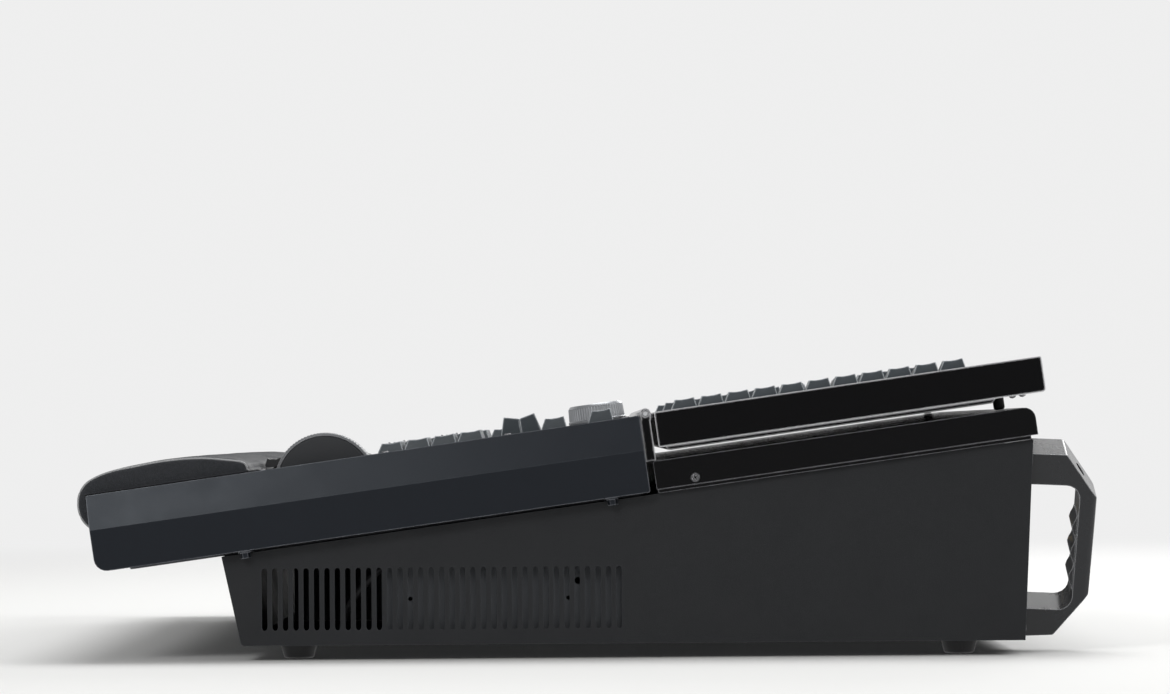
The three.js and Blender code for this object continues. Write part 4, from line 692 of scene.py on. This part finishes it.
# Rear cover: a folded steel lid over the computer, sprayed in a coarser gloss black that breaks
# up the light, with a domed screw at each side.
COVER_GLOSS = coated_material(
    "cover_gloss", (0.002, 0.002, 0.0025, 1), (0.3, 0.3, 0.32, 1),
    grain=0.0022, rough=(0.16, 0.26), wear_and_highlight=0.8, depth=0.00016, gloss=0.1,
)
dress("rear_cover", COVER_GLOSS, 0.5 * MM)
COVER_SCREW = (392.0, 423.6, -48.3)
for side, hand in ((-1, "left"), (1, "right")):
    head = screw_head(f"cover_screw_{hand}", 3.6 * MM, 2.2 * MM)
    outward = Matrix.Rotation(side * math.pi / 2, 4, "Y") @ Matrix.Rotation(math.radians(25), 4, "Z")
    head.matrix_world = Matrix.Translation(deck(side * COVER_SCREW[0], *COVER_SCREW[1:])) @ outward
    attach(head, "housing")

# Screen wing: a gloss black frame and back shell that tilt on the hinge, with two glass-fronted
# screens set in the frame and two rubber bumpers on the back that land on the rear cover.
# The frame's and shell's edges carry the gloss black's painted highlight line.
dress("wing_frame", GLOSS_BLACK, 0.4 * MM)
dress("wing_back", GLOSS_BLACK, 0.45 * MM)
SCREEN_GLASS = coated_material(
    "screen_glass", (0.006, 0.006, 0.007, 1), (0.03, 0.03, 0.03, 1),
    grain=0.01, rough=(0.04, 0.09), wear_and_highlight=0.1, depth=0.0, coat=1.0,
)
for side in ("left", "right"):
    dress(f"screen_{side}", SCREEN_GLASS, 0.3 * MM)
    dress(f"bumper_{side}", RUBBER, 0.3 * MM)

# Level wheel: a moulded disc with dished faces that turns on a stub axle at each side, with a
# knurled band round its rim, coloured paler as a painted highlight where the rim catches the light.
WHEEL_PLASTIC = coated_material(
    "wheel_plastic", (0.03, 0.032, 0.036, 1), (0.10, 0.10, 0.11, 1),
    grain=0.0007, rough=(0.42, 0.52), wear_and_highlight=0.6, depth=0.00007,
)
BAND_PAINTED_HIGHLIGHT = coated_material(
    "wheel_band_painted_highlight", (0.17, 0.175, 0.185, 1), (0.4, 0.4, 0.42, 1),
    grain=0.0005, rough=(0.36, 0.46), wear_and_highlight=0.8, depth=0.00003,
)
WHEEL_PLACE = (352, 165.4, -16.1)
WHEEL_RADIUS = 36.4 * MM
WHEEL_HALF = 12.5 * MM
WHEEL_AXLE = (3.0 * MM, 2.4 * MM)
WHEEL_DISH = (14.0 * MM, 1.0 * MM)
BAND_DEPTH = 2.4 * MM
BAND_RIBS = 96
BAND_RIB_HEIGHT = 0.28 * MM


def level_wheel():
    hub = WHEEL_AXLE[0] * 2
    core = WHEEL_RADIUS - BAND_DEPTH
    side = [
        (0.0, WHEEL_HALF + WHEEL_AXLE[1]),
        (WHEEL_AXLE[0] - 0.4 * MM, WHEEL_HALF + WHEEL_AXLE[1]),
        (WHEEL_AXLE[0], WHEEL_HALF + WHEEL_AXLE[1] - 0.4 * MM),
        (WHEEL_AXLE[0], WHEEL_HALF),
        (hub, WHEEL_HALF),
        (hub + 0.6 * MM, WHEEL_HALF - WHEEL_DISH[1]),
        (WHEEL_DISH[0], WHEEL_HALF - WHEEL_DISH[1]),
        (WHEEL_DISH[0] + 1.6 * MM, WHEEL_HALF - 0.3 * MM),
        (core - 0.5 * MM, WHEEL_HALF - 0.1 * MM),
        (core, WHEEL_HALF - 0.5 * MM),
    ]
    other = [(radius, -height) for radius, height in reversed(side)]
    disc = lathed("level_wheel_disc", side + other, 128, WHEEL_PLASTIC)
    crest = WHEEL_RADIUS - BAND_RIB_HEIGHT
    rim = [
        (core, WHEEL_HALF - 0.5 * MM),
        (core + 0.3 * MM, WHEEL_HALF),
        (crest - 1.2 * MM, WHEEL_HALF),
        (crest - 0.3 * MM, WHEEL_HALF - 0.5 * MM),
        (crest, WHEEL_HALF - 1.5 * MM),
    ]
    rim += [(radius, -height) for radius, height in reversed(rim)]

    def flute(step, row):
        return BAND_RIB_HEIGHT if row in (4, 5) and step % 4 < 2 else 0

    band = lathed("level_wheel_band", rim, BAND_RIBS * 4, BAND_PAINTED_HIGHLIGHT, flute=flute)
    lie = Matrix.Rotation(math.pi / 2, 4, "Y")
    for piece in (disc, band):
        on_deck(piece, *WHEEL_PLACE, spin=lie)
        soften(piece, 0)
        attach(piece, "level_wheel")
    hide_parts("level_wheel")


level_wheel()

# Trackball: a polished resin ball in a cup under the desk plate, held by a satin ring.
BALL_RESIN = coated_material(
    "ball_resin", (0.014, 0.015, 0.018, 1), (0.02, 0.02, 0.02, 1),
    grain=0.006, rough=(0.05, 0.1), wear_and_highlight=0.0, depth=0.0, coat=0.8,
)
BALL_PLACE = (252, 170, -5)
BALL_RADIUS = 20.0 * MM
RING_INNER, RING_OUTER = 19.9 * MM, 25.5 * MM
RING_HEIGHT = 1.5 * MM


def trackball():
    turns = [math.pi * step / 40 for step in range(41)]
    profile = [(BALL_RADIUS * math.sin(a), BALL_RADIUS * math.cos(a)) for a in turns]
    ball = lathed("trackball_ball", profile, 72, BALL_RESIN, closed=False)
    on_deck(ball, *BALL_PLACE)
    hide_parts("trackball")
    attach(ball, "trackball")
    section = [
        (RING_INNER, 0.0),
        (RING_OUTER, 0.0),
        (RING_OUTER, 0.4 * MM),
        (RING_OUTER - 0.8 * MM, 1.1 * MM),
        (RING_OUTER - 2.0 * MM, RING_HEIGHT),
        (RING_INNER + 1.2 * MM, RING_HEIGHT - 0.2 * MM),
        (RING_INNER, 0.7 * MM),
    ]
    ring = lathed("trackball_ring", section, 96, BLACK_PLASTIC)
    on_deck(ring, BALL_PLACE[0], BALL_PLACE[1], 0.0)
    soften(ring, 0)
    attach(ring, "housing")


trackball()

# Encoder knobs: turned aluminium with a fluted side, a bright chamfer and a dished top whose
# fine tool marks run in circles.
KNOB_COLUMNS = (24, 96, 168, 240)
KNOB_ALONG = 362
KNOB_RADIUS = 21.0 * MM
KNOB_TOP_RADIUS = 18.6 * MM
KNOB_HEIGHT = 13.5 * MM
KNOB_FLUTES = 60
KNOB_FLUTE_DEPTH = 0.45 * MM
DISH_RADIUS, DISH_DEPTH = 13.0 * MM, 1.2 * MM


def turned_silver():
    """Bright aluminium with the fine rings that a lathe leaves round the knob's axis."""
    material, tree, shader = new_material("turned_silver")
    place = tree.nodes.new("ShaderNodeTexCoord")
    rings = tree.nodes.new("ShaderNodeTexWave")
    rings.wave_type = "RINGS"
    rings.rings_direction = "Z"
    set_values(rings, **{"Scale": 240.0, "Distortion": 0.1, "Detail": 1.0})
    link(tree, place, "Object", rings, "Vector")
    wear_and_highlight_mask = placed(tree, EDGE_WEAR_AND_HIGHLIGHT, Amount=0.5, Width=0.0008)
    patches = placed(tree, SMUDGE, Low=0.3, High=0.42, Patch_Size=0.02)
    shown = mixed_color(tree, wear_and_highlight_mask.outputs["Mask"], (0.32, 0.33, 0.345, 1), (0.52, 0.52, 0.54, 1))
    tree.links.new(shown, shader.inputs["Base Color"])
    link(tree, patches, "Roughness", shader, "Roughness")
    bumped(tree, shader, rings.outputs["Fac"], 0.2, 0.000004)
    set_values(shader, Metallic=1.0)
    return material


def encoder_knob(number, across, material):
    low = 0.3 * MM
    profile = [
        (0.0, -5.0 * MM),
        (3.0 * MM, -5.0 * MM),
        (3.0 * MM, low),
        (KNOB_RADIUS - 0.3 * MM, low),
        (KNOB_RADIUS, low + 0.3 * MM),
        (KNOB_RADIUS, low + 1.6 * MM),
        (KNOB_RADIUS - 0.4 * MM, low + 2.0 * MM),
        (KNOB_RADIUS - 0.5 * MM, low + 2.3 * MM),
        (KNOB_TOP_RADIUS + 1.4 * MM, KNOB_HEIGHT - 2.6 * MM),
        (KNOB_TOP_RADIUS + 1.2 * MM, KNOB_HEIGHT - 2.0 * MM),
        (KNOB_TOP_RADIUS + 0.2 * MM, KNOB_HEIGHT - 0.5 * MM),
        (KNOB_TOP_RADIUS - 0.6 * MM, KNOB_HEIGHT),
        (DISH_RADIUS + 0.4 * MM, KNOB_HEIGHT),
        (DISH_RADIUS, KNOB_HEIGHT - 0.2 * MM),
        (DISH_RADIUS - DISH_DEPTH, KNOB_HEIGHT - DISH_DEPTH),
        (0.0, KNOB_HEIGHT - DISH_DEPTH),
    ]

    def flute(step, row):
        return -KNOB_FLUTE_DEPTH if row in (7, 8) and step % 4 < 2 else 0

    knob = lathed(f"encoder_knob_{number}", profile, KNOB_FLUTES * 4, material, closed=False, flute=flute)
    on_deck(knob, across, KNOB_ALONG, 0)
    soften(knob, 0)
    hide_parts(f"encoder_{number}")
    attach(knob, f"encoder_{number}")


SILVER = turned_silver()
for number, across in enumerate(KNOB_COLUMNS, 1):
    encoder_knob(number, across, SILVER)

# Palm rest: a foam pad in dark grey leatherette that wraps the desk's front edge. Its two end
# panels are sewn on over a piped edge, with a row of stitches beside each piping.
PALM_HALF = 388.6
PALM_END_ROUND = 3.2
PALM_SEAM = 9.5
PALM_START_DEPTH = 0.8
PALM_CROWN = 0.3
PALM_STATIONS = 150
PALM_PROFILE = [
    (114.6, 0.6), (115.0, 3.6), (113.6, 6.7), (109.0, 8.7), (102.4, 10.4), (93.0, 12.7),
    (84.3, 14.4), (72.0, 15.8), (61.3, 16.4), (50.0, 16.7), (38.0, 16.4), (28.0, 15.8),
    (20.5, 15.0), (12.0, 13.3), (5.8, 11.3), (0.6, 8.8), (-3.4, 5.0), (-6.0, 0.8),
    (-7.3, -4.2), (-7.6, -9.6), (-6.6, -15.0), (-4.3, -19.6), (-1.3, -23.0), (-0.4, -22.6),
    (-0.4, -12.0), (-0.4, 0.6), (30.0, 0.6), (70.0, 0.6),
]
PALM_HELD_FROM = 22
PALM_HUB, PALM_MIDDLE = (-1.2, 1.4), (36.0, 2.0)
PALM_WAVES = ((0.25, 0.047, 0.0), (0.18, 0.113, 1.3))
SWELL_FROM, SWELL_SPAN = 6.0, 8.0
PALM_PUFF, PALM_FRAMES = 1.3 * MM, 20
STITCH_LENGTH, STITCH_GAP, THREAD_RADIUS = 2.7 * MM, 0.9 * MM, 0.32 * MM
PIPING_RADIUS = 0.9 * MM


def leather_group():
    """Small uneven cells parted by creases, as pressed into leatherette, over a finer pore."""
    group, given, result = node_group(
        "leather_grain",
        [("Cell Size", "NodeSocketFloat", 0.0016), ("Crease", "NodeSocketFloat", 0.7)],
        [("Height", "NodeSocketFloat"), ("Crease Mask", "NodeSocketFloat")],
    )
    place = group.nodes.new("ShaderNodeTexCoord")
    scale = math_node(group, "DIVIDE", 1.0, given.outputs["Cell Size"])
    warp = set_values(group.nodes.new("ShaderNodeTexNoise"), Scale=160.0, Detail=2.0)
    group.links.new(place.outputs["Object"], warp.inputs["Vector"])
    bend = group.nodes.new("ShaderNodeVectorMath")
    bend.operation = "MULTIPLY_ADD"
    bend.inputs[1].default_value = (0.0016, 0.0016, 0.0016)
    group.links.new(warp.outputs["Color"], bend.inputs[0])
    group.links.new(place.outputs["Object"], bend.inputs[2])
    cells = group.nodes.new("ShaderNodeTexVoronoi")
    cells.feature = "DISTANCE_TO_EDGE"
    group.links.new(bend.outputs["Vector"], cells.inputs["Vector"])
    group.links.new(scale, cells.inputs["Scale"])
    crease = group.nodes.new("ShaderNodeMapRange")
    crease.interpolation_type = "SMOOTHSTEP"
    set_values(crease, **{"From Min": 0.0, "From Max": 0.22})
    group.links.new(cells.outputs["Distance"], crease.inputs["Value"])
    pores = set_values(group.nodes.new("ShaderNodeTexNoise"), Scale=2600.0, Detail=1.0)
    group.links.new(place.outputs["Object"], pores.inputs["Vector"])
    deep = math_node(group, "MULTIPLY", crease.outputs["Result"], given.outputs["Crease"])
    fine = math_node(group, "MULTIPLY", pores.outputs["Fac"], 0.25)
    group.links.new(math_node(group, "ADD", deep, fine), result.inputs["Height"])
    group.links.new(crease.outputs["Result"], result.inputs["Crease Mask"])
    return group


LEATHER_GRAIN = leather_group()


def leatherette(name, crease, skin, wear_and_highlight_skin):
    material, tree, shader = new_material(name)
    grain = placed(tree, LEATHER_GRAIN, Cell_Size=0.0011)
    wear_and_highlight_mask = placed(tree, EDGE_WEAR_AND_HIGHLIGHT, Amount=0.5, Width=0.003)
    patches = placed(tree, SMUDGE, Low=0.52, High=0.68, Patch_Size=0.05)
    grained = mixed_color(tree, grain.outputs["Crease Mask"], crease, skin)
    shown = mixed_color(tree, wear_and_highlight_mask.outputs["Mask"], grained, wear_and_highlight_skin)
    tree.links.new(shown, shader.inputs["Base Color"])
    link(tree, patches, "Roughness", shader, "Roughness")
    bumped(tree, shader, grain.outputs["Height"], 0.8, 0.00022)
    set_values(shader, **{"Specular IOR Level": 0.15, "Sheen Weight": 0.04, "Sheen Roughness": 0.5})
    return material


def thread_material():
    material, tree, shader = new_material("seam_thread")
    place = tree.nodes.new("ShaderNodeTexCoord")
    twist = set_values(tree.nodes.new("ShaderNodeTexWave"), Scale=700.0, Distortion=0.5)
    twist.bands_direction = "DIAGONAL"
    link(tree, place, "Object", twist, "Vector")
    shown = mixed_color(tree, twist.outputs["Fac"], (0.03, 0.031, 0.034, 1), (0.08, 0.082, 0.088, 1))
    tree.links.new(shown, shader.inputs["Base Color"])
    bumped(tree, shader, twist.outputs["Fac"], 0.7, 0.0001)
    set_values(shader, Roughness=0.6)
    return material


def smooth_run(points, steps):
    """Points on a smooth open curve from the first given point to the last."""
    last, curve = len(points) - 1, []
    for index in range(last):
        a, b, c, d = (Vector(points[min(max(index + offset, 0), last)]) for offset in (-1, 0, 1, 2))
        for step in range(steps):
            t = step / steps
            bend = (2 * a - 5 * b + 4 * c - d) * t**2 + (3 * b - a - 3 * c + d) * t**3
            curve.append(0.5 * (2 * b + (c - a) * t + bend))
    return curve + [Vector(points[last])]


def tube(places, radius, sides):
    """Corners and faces of a round cord with flat ends along a row of places."""
    corners, faces = [], []
    for index, place in enumerate(places):
        before, after = places[max(index - 1, 0)], places[min(index + 1, len(places) - 1)]
        ahead = (after - before).normalized()
        side = ahead.cross(Vector((0, 0, 1)) if abs(ahead.z) < 0.9 else Vector((1, 0, 0))).normalized()
        up = ahead.cross(side)
        for step in range(sides):
            turn = 2 * math.pi * step / sides
            corners.append(place + (side * math.cos(turn) + up * math.sin(turn)) * radius)
    for ring in range(len(places) - 1):
        for step in range(sides):
            here, beside = ring * sides + step, ring * sides + (step + 1) % sides
            faces.append((here, beside, beside + sides, here + sides))
    last = (len(places) - 1) * sides
    faces.append(tuple(reversed(range(sides))))
    faces.append(tuple(range(last, last + sides)))
    return corners, faces


def walked(places, distance):
    """Places at even steps along a row of places."""
    marks, left = [places[0]], distance
    for here, there in zip(places, places[1:]):
        span = (there - here).length
        while span > 0 and left <= span:
            here = here.lerp(there, left / span)
            marks.append(here)
            span = (there - here).length
            left = distance
        left -= span
    return marks


def stitches(places, lift):
    """Short threads that dip into the cover at both ends, along a row of places."""
    parts = []
    marks = walked(places, STITCH_LENGTH + STITCH_GAP)
    for here, there in zip(marks, marks[1:]):
        share = STITCH_LENGTH / (STITCH_LENGTH + STITCH_GAP)
        run = [here.lerp(there, share * step / 4) for step in range(5)]
        rises = [1.6 * math.sin(math.pi * step / 4) - 0.7 for step in range(5)]
        bowed = [place + lift * THREAD_RADIUS * rise for place, rise in zip(run, rises)]
        parts.append(tube(bowed, THREAD_RADIUS, 6))
    return parts


def palm_section(across, inset, swell, skin):
    """One section of the pad: drawn in by the inset where it is free, and raised by the swell."""
    middle = Vector(PALM_MIDDLE)
    places = []
    for along, up in skin:
        point = Vector((along, up))
        free = up > 1.5 or along < -1.0
        inward = (middle - point).normalized() * (inset if free else 0)
        lift = swell * max(0.0, min(1.0, (up - SWELL_FROM) / SWELL_SPAN))
        places.append(deck(across, along + inward.x, up + inward.y + lift))
    return places


def palm_rest():
    free = smooth_run(PALM_PROFILE[: PALM_HELD_FROM + 1], 3)
    skin = [tuple(point) for point in free] + PALM_PROFILE[PALM_HELD_FROM + 1 :]
    stops = []
    for step in range(7):
        turn = math.pi / 2 * step / 6
        drawn_in = PALM_END_ROUND * (1 - math.sin(turn)) * 0.75
        stops.append((-PALM_HALF + PALM_END_ROUND * (1 - math.cos(turn)), drawn_in))
    inner = PALM_HALF - PALM_END_ROUND
    stops += [(-inner + 2 * inner * step / PALM_STATIONS, 0.0) for step in range(1, PALM_STATIONS)]
    stops += [(-across, inset) for across, inset in reversed(stops[:7])]
    rings = []
    for across, inset in stops:
        share = 0.5 + across / (2 * PALM_HALF)
        swell = PALM_CROWN * math.sin(math.pi * share)
        swell += sum(height * math.sin(across * turn + start) for height, turn, start in PALM_WAVES)
        rings.append(palm_section(across, inset + PALM_START_DEPTH, swell, skin))
    count = len(skin)
    places = [place for ring in rings for place in ring]
    faces = []
    for ring in range(len(rings) - 1):
        for step in range(count):
            here, beside = ring * count + step, ring * count + (step + 1) % count
            faces.append((here, here + count, beside + count, beside))
    for ring, outward in ((0, False), (len(rings) - 1, True)):
        hub = len(places)
        places.append(deck(stops[ring][0], *PALM_HUB))
        for step in range(count):
            here, beside = ring * count + step, ring * count + (step + 1) % count
            faces.append((here, beside, hub) if outward else (beside, here, hub))
    pad = made("palm_pad", places, faces, LEATHER)
    shaped = bmesh.new()
    shaped.from_mesh(pad.data)
    bmesh.ops.recalc_face_normals(shaped, faces=shaped.faces)
    for face in shaped.faces:
        face.smooth = len(face.verts) > 3
    shaped.to_mesh(pad.data)
    shaped.free()
    return pad, stops, skin


def palm_held(pad, stops, skin):
    """Corners that the glue and the seams hold: the base, the end panels and the sewn lines."""
    count, held = len(skin), []
    for index, (across, _) in enumerate(stops):
        sewn = abs(abs(across) - (PALM_HALF - PALM_SEAM)) < 2.6 or abs(across) > PALM_HALF - 4.0
        for row, (along, up) in enumerate(skin):
            if sewn or row == 0 or row >= 3 * PALM_HELD_FROM:
                held.append(index * count + row)
    return held + list(range(len(stops) * count, len(pad.data.vertices)))


def plump(pad, held):
    """Blows the pad up a little against its seams and its base, and keeps the swollen shape."""
    grip = pad.vertex_groups.new(name="held")
    grip.add(held, 1.0, "ADD")
    start = [vertex.co.copy() for vertex in pad.data.vertices]
    cloth = pad.modifiers.new("cloth", "CLOTH")
    cloth.settings.vertex_group_mass = "held"
    cloth.settings.use_pressure = True
    cloth.settings.uniform_pressure_force = 4.0
    cloth.settings.effector_weights.gravity = 0.0
    cloth.settings.tension_stiffness = 40.0
    cloth.settings.compression_stiffness = 40.0
    cloth.settings.bending_stiffness = 2.0
    scene = bpy.context.scene
    for number in range(1, PALM_FRAMES + 1):
        scene.frame_set(number)
    graph = bpy.context.evaluated_depsgraph_get()
    swollen = pad.evaluated_get(graph).to_mesh()
    moved = [vertex.co.copy() for vertex in swollen.vertices]
    pad.evaluated_get(graph).to_mesh_clear()
    pad.modifiers.clear()
    scene.frame_set(1)
    for vertex, before, after in zip(pad.data.vertices, start, moved):
        shift = after - before
        vertex.co = before + shift.normalized() * min(shift.length, PALM_PUFF)
    pad.data.update()


def palm_seams(pad, stops, skin):
    """Piping round both end panels and a row of stitches just inside each."""
    count = len(skin)
    visible = range(0, 3 * PALM_HELD_FROM + 1)
    end, seam = PALM_HALF - 1.0, PALM_HALF - PALM_SEAM
    for side, hand in ((-1, "left"), (1, "right")):
        rings = [index for index, (across, _) in enumerate(stops) if abs(across * side - end) < 1.2]
        edge = rings[0] if side > 0 else rings[-1]
        path = [pad.data.vertices[edge * count + row].co.copy() for row in visible]
        piping = gathered(f"palm_piping_{hand}", [tube(path, PIPING_RADIUS, 8)], PIPING_PAINTED_HIGHLIGHT)
        row_at = min(range(len(stops)), key=lambda index: abs(stops[index][0] * side - seam))
        line = [pad.data.vertices[row_at * count + row].co.copy() for row in visible]
        sewing = gathered(f"palm_stitches_{hand}", stitches(line, Vector((0, 0, 1))), THREAD)
        for piece in (piping, sewing):
            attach(piece, "housing")


# The paler edge colour is edge wear and also a painted highlight along the pad's edges.
LEATHER = leatherette(
    "leatherette", (0.02, 0.0215, 0.024, 1), (0.036, 0.0385, 0.044, 1), (0.075, 0.077, 0.083, 1)
)
# The piping is coloured pale as a painted highlight along the end panels' top edge.
PIPING_PAINTED_HIGHLIGHT = leatherette(
    "piping_painted_highlight", (0.2, 0.205, 0.21, 1), (0.34, 0.345, 0.355, 1), (0.45, 0.45, 0.46, 1)
)
THREAD = thread_material()
palm_pad, palm_stops, palm_skin = palm_rest()
plump(palm_pad, palm_held(palm_pad, palm_stops, palm_skin))
palm_seams(palm_pad, palm_stops, palm_skin)
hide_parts("palm_rest")
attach(palm_pad, "housing")
